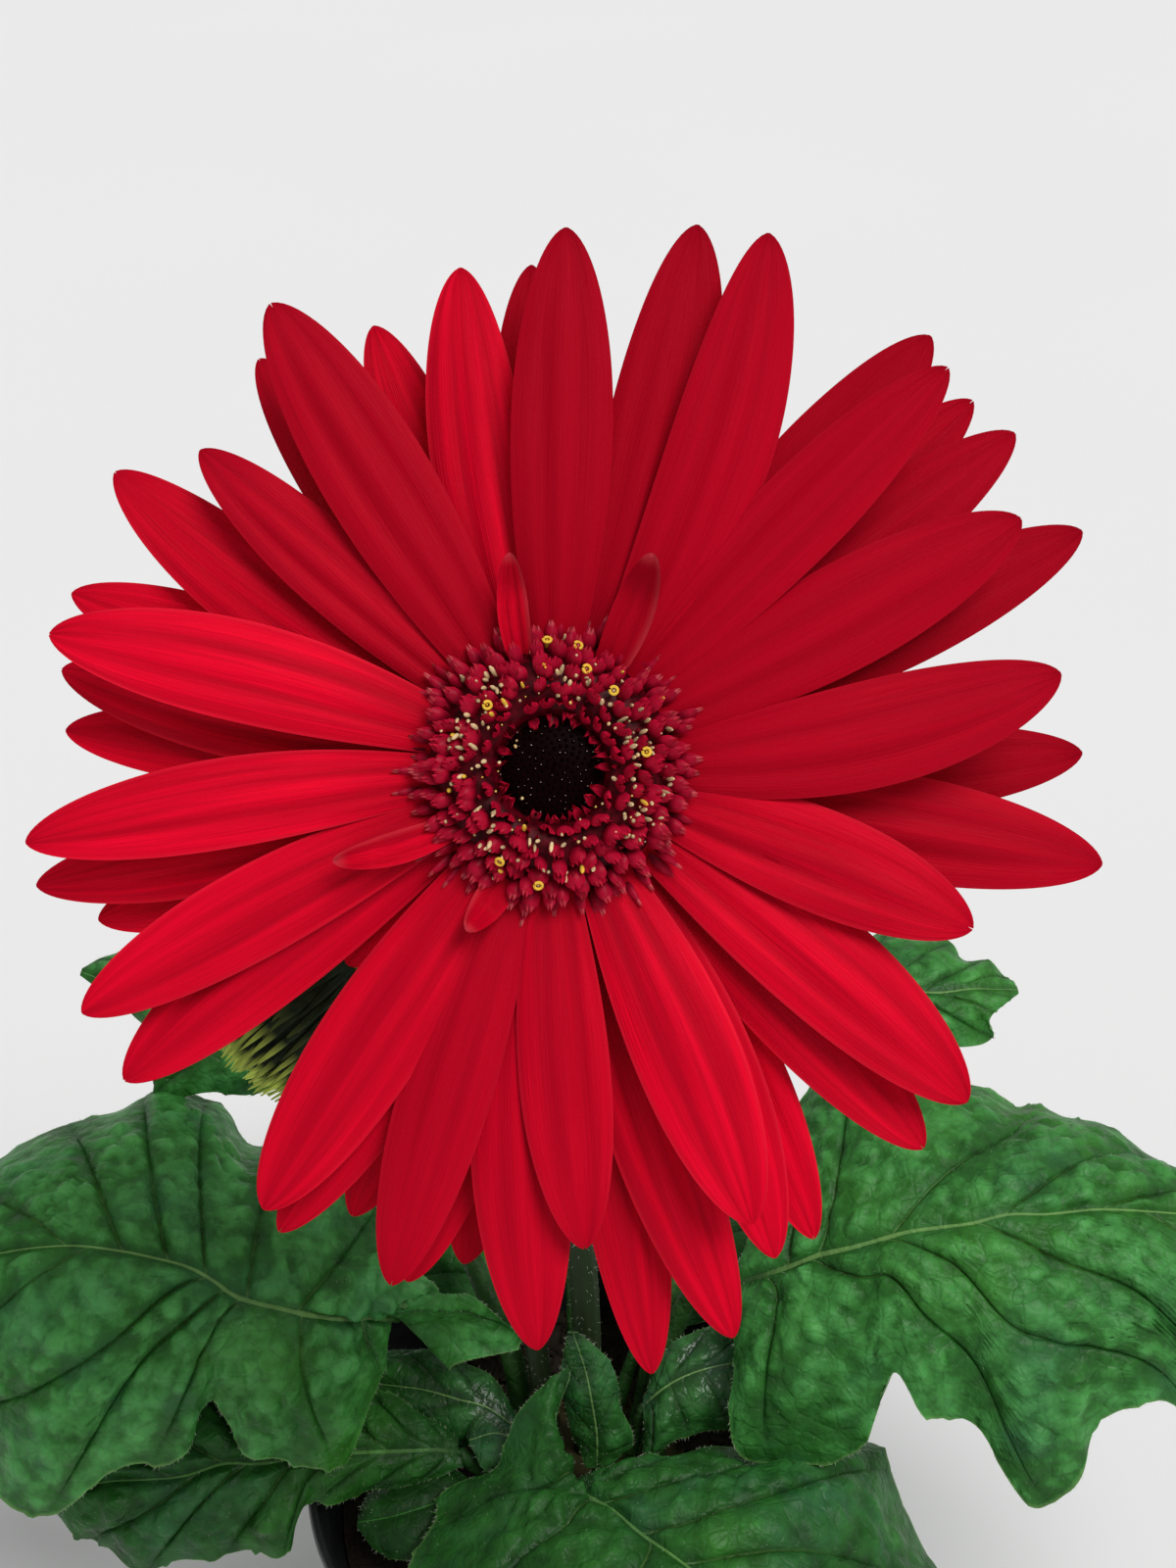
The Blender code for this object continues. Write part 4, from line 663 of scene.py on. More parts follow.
class Finish:
    """A Principled material painted in coats, with roughness and bump from nodes.

    Its masks are the four values that each point of a mesh carries: red, green, blue and alpha of its look."""

    def __init__(self, name, roughness, colour):
        self.material = bpy.data.materials.new(name)
        self.material.use_nodes = True
        self.tree = self.material.node_tree
        self.shader = self.tree.nodes["Principled BSDF"]
        self.shader.inputs["Roughness"].default_value = roughness
        look = self.node("Attribute", {}, attribute_name="look")
        parts = self.node("SeparateColor", {"Color": look.outputs["Color"]})
        self.red, self.green, self.blue = parts.outputs
        self.alpha = look.outputs["Alpha"]
        self.place = self.node("TexCoord", {}).outputs["Object"]
        self.coat = colour

    def node(self, kind, inputs, **settings):
        """A new node with these inputs, each a value or another node's socket."""
        made = self.tree.nodes.new("ShaderNode" + kind)
        for key, value in settings.items():
            setattr(made, key, value)
        for key, value in inputs.items():
            if isinstance(value, bpy.types.NodeSocket):
                self.tree.links.new(value, made.inputs[key])
            else:
                made.inputs[key].default_value = value
        return made

    def math(self, operation, a, b=0.0):
        """The result of a Math node."""
        return self.node("Math", {0: a, 1: b}, operation=operation).outputs[0]

    def times(self, a, b):
        """The product of two values."""
        return self.math("MULTIPLY", a, b)

    def noise(self, scale, detail=3.0, vector=None, distortion=0.0):
        """Noise with this many waves a metre, or a unit of the vector."""
        inputs = {"Scale": scale, "Detail": detail, "Distortion": distortion, "Vector": vector or self.place}
        return self.node("TexNoise", inputs).outputs["Fac"]

    def strands(self, across, along, each):
        """Noise drawn out along a petal: how fine it is across and along it, and how far petals differ."""
        stretched = {
            "X": self.times(self.red, across),
            "Y": self.times(self.green, along),
            "Z": self.times(self.blue, each),
        }
        return self.noise(1.0, 3, self.node("CombineXYZ", stretched).outputs[0])

    def range(self, value, low, high, start=0.0, end=1.0):
        """The value's part from low to high, spread from start to end."""
        keys = ("Value", "From Min", "From Max", "To Min", "To Max")
        return self.node("MapRange", dict(zip(keys, (value, low, high, start, end)))).outputs[0]

    def from_middle(self):
        """How far a place lies from the middle line of its petal or lip, 1 at either edge."""
        return self.math("ABSOLUTE", self.range(self.red, 0, 1, -1, 1))

    def mix(self, share, a, b, **settings):
        """A colour between a and b."""
        a, b = (c if isinstance(c, bpy.types.NodeSocket) else (*c, 1.0) for c in (a, b))
        inputs = {MIX_SHARE: share, MIX_A: a, MIX_B: b}
        return self.node("Mix", inputs, data_type="RGBA", **settings).outputs[MIX_RESULT]

    def lay(self, colour, value, *span):
        """Lays a colour over the coats so far, by the value as the share, or by its range with this span."""
        share = self.range(value, *span) if span else value
        self.coat = self.mix(share, self.coat, colour)

    def dim(self, share, darkest):
        """Darkens the coats so far: not at all where the share is 1, and to this part of their light at 0."""
        light = self.mix(share, (darkest, darkest, darkest), (1, 1, 1))
        self.coat = self.mix(1.0, self.coat, light, blend_type="MULTIPLY")

    def roughness(self, value, low, high):
        """Lets the roughness run from low to high with a noise."""
        self.tree.links.new(self.range(value, 0.3, 0.7, low, high), self.shader.inputs["Roughness"])

    def bump(self, height, distance, strength=1.0):
        """Adds fine relief to what is there so far."""
        under = self.shader.inputs["Normal"].links
        inputs = {"Height": height, "Distance": distance, "Strength": strength}
        if under:
            inputs["Normal"] = under[0].from_socket
        made = self.node("Bump", inputs)
        self.tree.links.new(made.outputs[0], self.shader.inputs["Normal"])

    def done(self, gloss):
        """The material, with its coats joined to the shader."""
        self.tree.links.new(self.coat, self.shader.inputs["Base Color"])
        self.shader.inputs["Specular IOR Level"].default_value = gloss
        return self.material


def shade(colour, by):
    """The colour, darker or lighter by a factor."""
    return tuple(min(1.0, c * by) for c in colour[:3])


def petal_finish(settings):
    """Satin petals: darker along their grooves, partly their own colour and partly painted shade; painted
    highlights at their edges; painted shade at their roots and by the direction of their tips; paler behind.
    """
    main = settings.petal_colour
    finish = Finish("petal_satin", 0.5, shade(main, 0.62))
    streak = finish.strands(7.0, 1.1, 943.0)
    fibre = finish.strands(85.0, 3.2, 591.0)
    edge = finish.from_middle()
    off_groove = finish.math("ABSOLUTE", finish.math("SUBTRACT", edge, GROOVE_PLACE))
    short_of_tip = finish.range(finish.green, 0.98, 0.6, 0.0, 0.48)
    finish.lay(main, streak, 0.36, 0.64)
    finish.lay(shade(main, 0.45), fibre, 0.42, 0.68, 0.0, 0.34)
    # Darker along the grooves: partly the petals' own colour, partly painted shade in the grooves
    finish.lay(shade(main, 0.36), finish.times(finish.range(off_groove, GROOVE_WIDTH, 0.0), short_of_tip))
    # Painted highlights along the petals' edges
    finish.lay(settings.petal_edge_highlight_colour, edge, 0.90, 1.0, 0.0, 0.28)
    # Painted shade towards the petals' roots, where they lie under one another
    finish.lay(shade(main, 0.36), finish.green, 0.34, 0.0, 0.0, 0.6)
    # Painted shade by each petal's painted light value, darkest where it is 0
    finish.lay(shade(main, 0.40), finish.blue, 0.0, 1.0, 0.95, 0.0)
    finish.lay(settings.petal_back_colour, finish.times(finish.alpha, 0.55))
    finish.bump(fibre, 0.14 * MM, 0.8)
    finish.bump(finish.noise(1900, 3), 0.05 * MM, 0.6)
    return finish.done(0.04)


def floret_finish(settings):
    """Deep crimson lips, with painted shade that makes them near black at their roots, painted highlights at
    their tips and edges, and rosy tips.
    """
    main = settings.floret_colour
    finish = Finish("floret_crimson_satin", 0.38, shade(main, 0.08))
    # Painted shade at the lips' roots, between the rows: near black there, their own colour further out
    finish.lay(main, finish.green, 0.12, 0.62)
    finish.lay(shade(main, 0.45), finish.noise(900, 2), 0.35, 0.7, 0.0, 0.5)
    # Painted highlights at the lips' tips and along their edges
    finish.lay(shade(main, 2.2), finish.green, 0.90, 1.0, 0.0, 0.35)
    finish.lay(shade(main, 2.0), finish.from_middle(), 0.80, 1.0, 0.0, 0.30)
    tip = finish.times(finish.range(finish.green, 0.86, 0.97), finish.blue)
    finish.lay(settings.floret_tip_colour, tip)
    finish.bump(finish.noise(2200, 2), 0.05 * MM, 0.6)
    return finish.done(0.07)


def grain_finish(name, dark, light, roughness, tint, gloss=0.12):
    """Small grains whose look runs from dark to light, then to tint."""
    finish = Finish(name, roughness, dark)
    finish.lay(light, finish.red)
    finish.lay(tint, finish.green)
    finish.dim(finish.range(finish.noise(3000, 2), 0.3, 0.7, 0.75, 1.0), 0.55)
    finish.bump(finish.noise(2500, 3), 0.06 * MM, 0.7)
    return finish.done(gloss)


def leaf_finish(name, settings, main, roughness, gloss, light):
    """Quilted leaf: painted shade in the creases and hollows, painted highlights on the puffs, a painted
    bluish sheen in places, pale on rib and veins.
    """
    finish = Finish(name, roughness, shade(main, 0.26))
    fine = finish.noise(260, 4)
    pucker = finish.noise(330, 2, distortion=0.6)
    cell = finish.node("TexVoronoi", {"Scale": 330.0, "Vector": finish.place}, feature="DISTANCE_TO_EDGE")
    net = finish.range(cell.outputs[0], 0.0, 0.12)
    # The painted light level from the mesh, with a little noise
    height = finish.math("ADD", finish.green, finish.range(fine, 0.3, 0.7, -0.25, 0.25))
    # How lit the leaf is painted: the bluish sheen and the yellower patches show only there
    lit = finish.range(finish.green, 0.05, 0.4)
    bluish_sheen = finish.times(finish.range(finish.noise(75, 3), 0.50, 0.72, 0.0, 0.30), lit)
    yellower = finish.times(finish.range(finish.noise(38, 2), 0.50, 0.75, 0.0, 0.45), lit)
    vein = finish.times(finish.red, finish.range(fine, 0.25, 0.6, 0.55, 1.0))
    # Painted shade in the creases, the leaf's own colour where it is painted lit
    finish.lay(main, height, 0.05, 0.8)
    # Painted highlights on the puffs, scaled by the light argument
    finish.lay(settings.leaf_puff_highlight_colour, height, 0.62, 1.1, 0.0, 0.9 * light)
    # A painted bluish sheen in patches
    finish.lay(settings.leaf_sheen_colour, bluish_sheen)
    finish.lay(settings.leaf_yellow_colour, yellower)
    # Painted shade along the edges of the small cells, where the relief sinks
    finish.lay(shade(main, 0.45), net, 0.0, 1.0, 0.16, 0.0)
    finish.lay(settings.vein_colour, finish.blue, 0.985, 1.0, 0.0, 0.4)
    # Painted shade in the hollows of the puckers
    finish.lay(shade(main, 0.34), pucker, 0.46, 0.30, 0.0, 0.35)
    finish.lay(settings.vein_colour, vein)
    finish.lay(settings.leaf_under_colour, finish.times(finish.alpha, 0.75))
    finish.roughness(finish.noise(420, 3), roughness - 0.08, roughness + 0.12)
    finish.bump(net, 0.14 * MM, 0.6)
    finish.bump(fine, 0.8 * MM, 0.8)
    finish.bump(pucker, 0.5 * MM, 0.8)
    finish.bump(finish.noise(620, 3), 0.18 * MM, 0.7)
    finish.bump(finish.noise(1500, 2), 0.04 * MM, 0.5)
    return finish.done(gloss)


def stem_finish(name, main, tint):
    """Ribbed green stalk, flushed with another colour towards one end."""
    finish = Finish(name, 0.5, shade(main, 0.7))
    finish.lay(main, finish.noise(160, 3), 0.35, 0.7)
    finish.lay(shade(main, 1.5), finish.noise(900, 2), 0.45, 0.7, 0.0, 0.4)
    finish.lay(tint, finish.green)
    finish.bump(finish.noise(1100, 3), 0.08 * MM, 0.6)
    return finish.done(0.35)


def bract_finish(settings):
    """Near-black green bracts with yellow-green tips."""
    main = settings.bract_colour
    finish = Finish("bract_dark_green", 0.55, shade(main, 0.4))
    finish.lay(main, finish.noise(700, 3), 0.3, 0.7)
    tip = finish.times(finish.range(finish.green, 0.55, 0.78), finish.blue)
    finish.lay(settings.bract_tip_colour, tip)
    finish.bump(finish.noise(1600, 2), 0.06 * MM, 0.7)
    return finish.done(0.12)


def soil_finish(settings):
    """Dark peat with paler specks."""
    main = settings.soil_colour
    finish = Finish("damp_peat", 0.9, shade(main, 0.35))
    coarse = finish.noise(420, 5)
    finish.lay(main, coarse, 0.3, 0.7)
    finish.lay(shade(main, 2.4), finish.noise(1300, 3), 0.6, 0.78, 0.0, 0.6)
    finish.bump(coarse, 1.0 * MM, 0.9)
    finish.bump(finish.noise(2400, 3), 0.2 * MM, 0.8)
    return finish.done(0.3)


def pot_finish(settings):
    """Matte black moulded plastic with fine grain and a little dust."""
    main = settings.pot_colour
    finish = Finish("pot_moulded_plastic", 0.45, main)
    finish.lay(shade(main, 2.6), finish.noise(60, 4), 0.45, 0.75, 0.0, 0.35)
    finish.lay(shade(main, 4.0), finish.noise(900, 2), 0.62, 0.8, 0.0, 0.3)
    finish.roughness(finish.noise(220, 3), 0.36, 0.56)
    finish.bump(finish.noise(1900, 2), 0.03 * MM, 0.6)
    return finish.done(0.45)


def floor_finish(settings):
    """A pale floor, faintly uneven in tone."""
    main = settings.floor_colour
    finish = Finish("pale_floor", 0.85, shade(main, 0.985))
    finish.lay(main, finish.noise(3.0, 2), 0.3, 0.7)
    return finish.done(0.1)


def sheet_look(t, v, blue):
    """The looks of a sheet with places t along and v across: red runs across, green along, blue is even."""
    look = np.zeros((len(t), len(v), 4))
    look[..., 0] = (v + 1) / 2
    look[..., 1] = t
    look[..., 2] = blue
    return look


def petal_width(t):
    """Half width of a petal at these shares of its length, as shares of its widest."""
    grow = PETAL_FOOT + (1 - PETAL_FOOT) * np.sin(math.pi / 2 * np.minimum(t, PETAL_WIDEST) / PETAL_WIDEST)
    beyond = np.maximum(t - PETAL_WIDEST, 0) / (1 - PETAL_WIDEST)
    shrink = np.clip(1 - beyond**2.1, 0, 1) ** 0.60
    return np.maximum(grow * shrink, 0.03)


def petal_height(t, v, half, length, groove_depth, inner, chance):
    """How far each place of a petal stands in front of its middle line."""
    wide = half * MM * petal_width(t)
    bow = np.sin(math.pi * t)
    grow = bow**0.6 * (1 - 0.55 * ramp(t, 0.62, 0.98))
    drift = 0.06 * np.sin(5 * t + chance.uniform(0, TAU)) + chance.uniform(-0.06, 0.06)
    depths = chance.uniform(0.25, 1.0), chance.uniform(0.25, 1.0)
    places = (-GROOVE_PLACE, GROOVE_PLACE)
    groove = sum(d * np.exp(-(((v - drift - c) / GROOVE_WIDTH) ** 2)) for d, c in zip(depths, places))
    height = -PETAL_CAMBER * wide * v * v - groove_depth * (half / GROOVED_HALF) * grow * groove
    height = height + PETAL_KEEL * wide * ramp(t, 0.74, 1.0) * np.abs(v) ** 1.8
    height = height + chance.uniform(-PETAL_TWIST, PETAL_TWIST) * wide * v * bow
    height = height + chance.uniform(-PETAL_BOW, PETAL_BOW) * length * bow
    height = height + PETAL_WAVE * np.sin(9 * t + chance.uniform(0, TAU) + 2.0 * v) * np.abs(v) * grow
    if inner:
        height = height + 0.55 * wide * v * v + INNER_CURL * ramp(t, 0.6, 1.0) ** 2
    return height


def petal(shape, ray, chance, thick, groove_depth):
    """One ray petal: two grooves along it, a keeled tip with small teeth, and a bow and twist of its own."""
    tip, reach, root, half, tier = ray
    start = polar(ROOT_RADIUS, root)
    length = reach * MM - ROOT_RADIUS
    rise = length * math.tan(math.radians(TIER_RISE[tier]))
    sag = length * PETAL_DROOP
    nearer = (TIER_ROOT[tier] + (1 - PETAL_LEVELLING) * rise - sag) / VIEW_DISTANCE
    end = polar(reach * MM * (1 - nearer), tip)
    turn_at = polar(ROOT_RADIUS + 0.5 * np.linalg.norm(end - start), root)
    t = 1 - (1 - np.linspace(0, 1, PETAL_ROWS)[:, None]) ** 1.3
    v = np.linspace(-1, 1, PETAL_COLUMNS)
    first = start + (turn_at - start) * t
    second = turn_at + (end - turn_at) * t
    middle = first + (second - first) * t
    middle[:, 2:] = TIER_ROOT[tier] + rise * t * (1 - PETAL_LEVELLING * t) - sag * t * t
    ahead = unit(second - first)
    side = np.stack([ahead[:, 1], -ahead[:, 0], 0 * ahead[:, 0]], axis=1)
    inner = tier == INNER_TIER
    height = petal_height(t, v, half, length, groove_depth, inner, chance)
    notch = PETAL_NOTCH * max(0, chance.uniform(-1, 1))
    teeth = -notch * np.exp(-((v / 0.22) ** 2)) * ramp(t, 0.965, 1.0)
    across_it = side[:, None] * (half * MM * petal_width(t) * v)[..., None]
    top = middle[:, None] + across_it + ahead[:, None] * teeth[..., None]
    top[..., 2] += height
    bottom = top.copy()
    bottom[..., 2] -= thick * (1 - 0.5 * v**4)
    # Each petal's painted light and shade by the direction of its tip, with a random spread
    painted_light = np.interp(tip, *PETAL_PAINTED_LIGHT) + chance.uniform(-TONE_SPREAD, TONE_SPREAD)
    look = sheet_look(t, v, np.clip(painted_light, 0, 1))
    if inner:
        look[..., 3] = 1.3 * ramp(t, 0.90, 1.0) + 0.8 * ramp(v, 0.6, 1.0)
    under = look.copy()
    under[..., 3] = 1
    shape.sheet(top, bottom, look, under)


def build_petals(settings):
    """The ray petals in their tiers, on the seat that they grow from."""
    chance = random.Random(SEEDS["petals"])
    shape = Shape(bloom_axes())
    # The seat takes the painted shade of the petals' roots
    shape.turned(np.array(PETAL_SEAT) * MM, 48, (0.5, 0, 0.5, 0))
    for ray in RAYS:
        petal(shape, ray, chance, settings.petal_thickness, settings.groove_depth)
    shape.piece("ray_petals", petal_finish(settings), "petal_red", ("bloom_rays",))


def lip(shape, axes, length, half, pointed, pale, curl, chance):
    """A floret's lip: a spoon that bends back along its length. Axes are root, way, out and side."""
    root, way, out, side = axes
    t = np.linspace(0, 1, 9)[:, None]
    v = np.linspace(-1, 1, 7)
    bend = curl * t**1.5
    middle = root + way * length * (t - 0.25 * t**3 * abs(curl)) + out * length * 0.5 * bend * t
    body = np.sin(math.pi / 2 * np.minimum(t / 0.55, 1)) * 0.62 + 0.38
    blunt = np.sqrt(np.clip(1 - (np.maximum(t - 0.62, 0) / 0.40) ** 2, 0, 1))
    sharp = 1 - np.maximum(t - 0.45, 0) / 0.58
    wide = half * body * (blunt + (sharp - blunt) * pointed)
    dome = out * (half * 0.52)
    notch = 0.10 * length * np.cos(3 * math.pi * v) * ramp(t, 0.8, 1.0)
    top = middle[:, None] + side * (wide * v)[..., None]
    top = top + dome * ((1 - v * v) * np.minimum(2 * t, 1))[..., None] + way * notch[..., None]
    look = sheet_look(t, v, pale * chance.uniform(0.5, 1))
    shape.sheet(top, top - out * LIP_THICK, look, look)


def build_florets(settings):
    """The ring of trans florets: lips in rows like scales, with curled inner lobes between them."""
    chance = random.Random(SEEDS["florets"])
    shape = Shape(bloom_axes())
    # The bed between the lips is painted near black, as painted shade
    shape.turned(np.array(FLORET_BED) * MM, 72, (0.5, 0, 0, 0))
    last = len(FLORET_ROWS) - 1
    for row, (radius, count, height, length, lean, half, pointed, pale) in enumerate(FLORET_ROWS):
        stray = 1 if row else 2
        shortest = 0.86 if lean > 0 else 0.45
        curls = (-0.55, -0.1) if lean > 0 else (0.2, 0.8)
        for k in range(count):
            azimuth = 360 * (k + 0.5 * (row % 2)) / count + stray * chance.uniform(-4.5, 4.5)
            tilt = math.radians(lean + stray * chance.uniform(-14, 14))
            way = polar(math.sin(tilt), azimuth, math.cos(tilt))
            out = polar(-math.cos(tilt), azimuth, math.sin(tilt))
            side = unit(polar(1, azimuth + 90) + out * chance.uniform(-0.5, 0.5))
            ring = (radius + chance.uniform(-0.5, 0.5)) * MM
            root = polar(ring, azimuth, (height - 1.2 + chance.uniform(-0.4, 0.4)) * MM)
            run = length * chance.uniform(shortest, 1.12) * MM
            size = half * chance.uniform(0.72, 1.2) * MM
            curl = chance.uniform(*curls)
            lip(shape, (root, way, out, side), run, size, pointed, pale, curl, chance)
            if 0 < row < last and chance.random() < INNER_LOBES:
                inner = root + polar(-0.7 * MM, azimuth) + side * chance.uniform(-0.5, 0.5) * MM
                axes = (inner, unit(way + out * 0.35), out, side)
                lip(shape, axes, 0.72 * run, 0.32 * size, 1.0, 0.25, chance.uniform(0.5, 1.3), chance)
    shape.piece("florets", floret_finish(settings), "floret_crimson", ("bloom_florets",))


def open_ring(centre, axis, radius):
    """A small ring of points round an axis, not quite closed."""
    side = unit(np.cross(axis, (0.2, 0.9, 0.1)))
    other = np.cross(axis, side)
    angle = np.linspace(0, 0.94 * TAU, 14)[:, None]
    return centre + (side * np.cos(angle) + other * np.sin(angle)) * radius


def build_anthers(settings):
    """Cream and yellow anthers between the lips, some of them open rings, and a few loose grains."""
    chance = random.Random(SEEDS["anthers"])
    shape = Shape(bloom_axes())
    for k in range(ANTHERS):
        radius = chance.triangular(6.6, 14.2, 10.2)
        azimuth = chance.uniform(0, 360)
        height = 6.6 - 0.055 * (radius - 7.2) ** 2 - max(0, radius - 11) * 0.42
        base = polar(radius * MM, azimuth, (height - 0.9) * MM)
        stray = polar(chance.uniform(-0.2, 0.75), azimuth, 1.0)
        lean = unit(stray + np.array([chance.uniform(-0.3, 0.3) for _ in range(3)]))
        length = chance.uniform(0.7, 1.7) * MM
        thick = chance.uniform(0.17, 0.27) * MM
        look = (chance.random(), 1.0 if k % RIPE_EVERY == 0 else 0.0, 0, 0)
        end = shape.stub(base, lean, length, thick * np.array((0.7, 1.0, 1.0, 0.95, 0.45)), 7, look)
        if k % OPEN_EVERY == 0:
            ring = open_ring(end, lean, 0.42 * MM)
            shape.tube(ring, np.full(len(ring), 0.17 * MM), 6, (0.9, 1.0, 0, 0), lean)
    for _ in range(POLLEN_GRAINS):
        radius = chance.triangular(3.0, 15.5, 8.0)
        place = polar(radius * MM, chance.uniform(0, 360), (5.9 - 0.05 * (radius - 7) ** 2) * MM)
        size = chance.uniform(0.10, 0.22) * MM
        shape.lump(place, (size, size, size), chance, (chance.random(), chance.random() ** 2, 0, 0))
    pale = settings.anther_colour
    shape.piece("anthers", grain_finish("anther_cream", shade(pale, 0.6), pale, 0.5, settings.pollen_colour))


def build_eye(settings):
    """The near-black button: a dome packed with unopened florets in spirals, a few with a pale dot."""
    chance = random.Random(SEEDS["eye"])
    shape = Shape(bloom_axes())
    shape.turned(np.array(EYE_DOME) * MM, 40, (0, 0, 0, 0))
    for k in range(EYE_BUTTONS):
        radius = EYE_RADIUS * math.sqrt((k + 0.5) / EYE_BUTTONS)
        azimuth = GOLDEN_ANGLE * k
        height = 4.5 - 0.045 * radius**2
        foot = polar(radius * MM, azimuth, (height - 0.35) * MM)
        lean = unit(polar(0.25 * radius / EYE_RADIUS, azimuth, 1.0))
        look = (chance.random() * 0.6, 0, 0, 0)
        end = shape.stub(foot, lean, 0.8 * MM, np.array((0.24, 0.28, 0.2, 0.06)) * MM, 6, look)
        if chance.random() < 0.35:
            size = chance.uniform(0.035, 0.075) * MM
            dot = end + np.array([chance.uniform(-0.1, 0.1) for _ in range(3)]) * MM
            shape.lump(dot, (size, size, size), chance, (1, 1, 0, 0))
    dark = settings.eye_colour
    finish = grain_finish("eye_near_black", shade(dark, 0.4), dark, 0.5, (0.55, 0.42, 0.36), 0.02)
    shape.piece("eye_buttons", finish, "eye_dark", ("bloom_eye",))


def bract(shape, line, half, pale, away):
    """A narrow keeled bract along a line, with its keel on the side that faces away."""
    line = spaced(spline(line, 8), 10)
    _, side, out = across(line, np.cross(away, line[-1] - line[0]))
    out = out * np.sign(np.sum(out * away, axis=1, keepdims=True) + 1e-9)
    t = np.linspace(0, 1, 10)[:, None]
    v = np.linspace(-1, 1, 5)
    wide = half * np.maximum(np.sin(math.pi * np.clip(0.22 + 0.78 * t, 0, 1)) ** 0.7, 0.06)
    top = line[:, None] + side[:, None] * (wide * v)[..., None]
    top = top + out[:, None] * (0.45 * wide * (1 - np.abs(v)))[..., None]
    look = sheet_look(t, v, pale)
    shape.sheet(top, top - out[:, None] * BRACT_THICK, look, look)


def wrapped_head(axes, profile, sides, rows, seed):
    """A turned body, wrapped in rows of bracts round its own Z axis."""
    shape = Shape(axes)
    curve = spline(np.insert(np.array(profile, float), 1, 0, axis=1) * MM, 5)[:, [0, 2]]
    shape.turned([(0, curve[0, 1]), *curve, (0, curve[-1, 1])], sides, (0.5, 0, 0, 0))
    chance = random.Random(seed)
    for row, (count, *path, half, pale) in enumerate(rows):
        for k in range(count):
            azimuth = 360 * (k + 0.5 * (row % 2)) / count + chance.uniform(-4, 4)
            stretch = chance.uniform(0.88, 1.12)
            drift = chance.uniform(-7, 7)
            line = [polar(r * MM, azimuth + drift * i / 2, z * MM) for i, (r, z) in enumerate(path)]
            line[-1] = line[1] + (line[-1] - line[1]) * stretch
            bract(shape, line, half * MM, pale * chance.uniform(0.55, 1.0), polar(1, azimuth))
    return shape


def build_involucre(settings):
    """The cup behind the bloom, wrapped in three rows of green bracts."""
    shape = wrapped_head(bloom_axes(), CUP, 40, CUP_BRACTS, SEEDS["cup"])
    shape.piece("involucre", bract_finish(settings), "bract_green", ("bloom_involucre",))


def build_bud(settings):
    """The closed bud, wrapped in narrow dark bracts whose free tips are yellow-green."""
    shape = wrapped_head(bud_axes(), BUD, 36, BUD_BRACTS, SEEDS["bud"])
    shape.piece("bud", bract_finish(settings), "bract_green", ("bud_head",))


def socket_line(foot, toward):
    """Where a stalk starts in the crown, and a point just above the crown on its way."""
    top = np.array((foot[0], foot[1], CROWN_TOP))
    heading = unit(np.asarray(toward) - top)
    return top - heading * (SOCKET_DEPTH - CLEARANCE), top + heading * STRAIGHT_RUN


def scape_line(foot, route, axes, socket_end):
    """The middle line of a flower stalk, from the crown to its flower head."""
    route = [np.array(p) * MM for p in route]
    start, out = socket_line(np.array(foot) * MM, route[0])
    head = [(axes @ (0, 0, z, 1))[:3] for z in (socket_end - HEAD_LEAD, socket_end - CLEARANCE)]
    return spaced(spline([start, out, *route, *head], 16), 150)


def scapes():
    """Both flower stalks, as (name, node, line, radius)."""
    bloom = scape_line(SCAPE_FOOT, SCAPE_ROUTE, bloom_axes(), CUP_SOCKET)
    bud = scape_line(BUD_FOOT, BUD_ROUTE, bud_axes(), BUD_SOCKET)
    return (
        ("bloom_scape", "bloom_stalk", bloom, SCAPE_RADIUS),
        ("bud_scape", "bud_stalk", bud, BUD_SCAPE_RADIUS),
    )


def build_scapes(settings):
    """The two flower stalks, softly ribbed and near black towards the foot."""
    finish = stem_finish("scape_green", settings.stem_colour, settings.stem_foot_colour)
    for name, node, line, radius in scapes():
        t = np.linspace(0, 1, len(line))
        _, side, up = across(line, (1, 0, 0))
        angle = np.linspace(0, TAU, SCAPE_SIDES, endpoint=False)
        rib = 1 + 0.035 * np.cos(8 * angle) + 0.02 * np.sin(5 * angle + 9 * t[:, None])
        swell = radius * (0.93 + 0.10 * ramp(t, 0.10, 0.0) + 0.05 * ramp(t, 0.93, 1.0))
        ring = side[:, None] * np.cos(angle)[:, None] + up[:, None] * np.sin(angle)[:, None]
        look = np.zeros((len(line), SCAPE_SIDES, 4))
        look[..., 1] = (0.95 * ramp(t, 0.72, 0.30))[:, None]
        shape = Shape()
        shape.rings(line[:, None] + ring * (rib * swell[:, None])[..., None], look)
        shape.piece(name, finish, "stem_green", (node,))


def vein_rows(reach):
    """Where lateral veins leave the rib and meet the margin, for a half blade with this reach at each row."""
    last = len(reach) - 1
    tips = [k for k in range(1, last) if reach[k] > max(reach[k - 1], reach[k + 1])]
    pairs = []
    meet = 0.9
    while meet < last - 0.3:
        near = [k for k in tips if abs(k - meet) < 0.6]
        at = near[0] if near else meet
        pairs.append((max(0.15 + 0.5 * len(pairs), at * 0.93 - 1.1), at))
        meet = at + 1.35
    return pairs


def pick(line, at):
    """The line's points at these fractional places along it."""
    low = np.clip(np.floor(at).astype(int), 0, len(line) - 2)
    share = (at - low)[..., None]
    return line[low] * (1 - share) + line[low + 1] * share


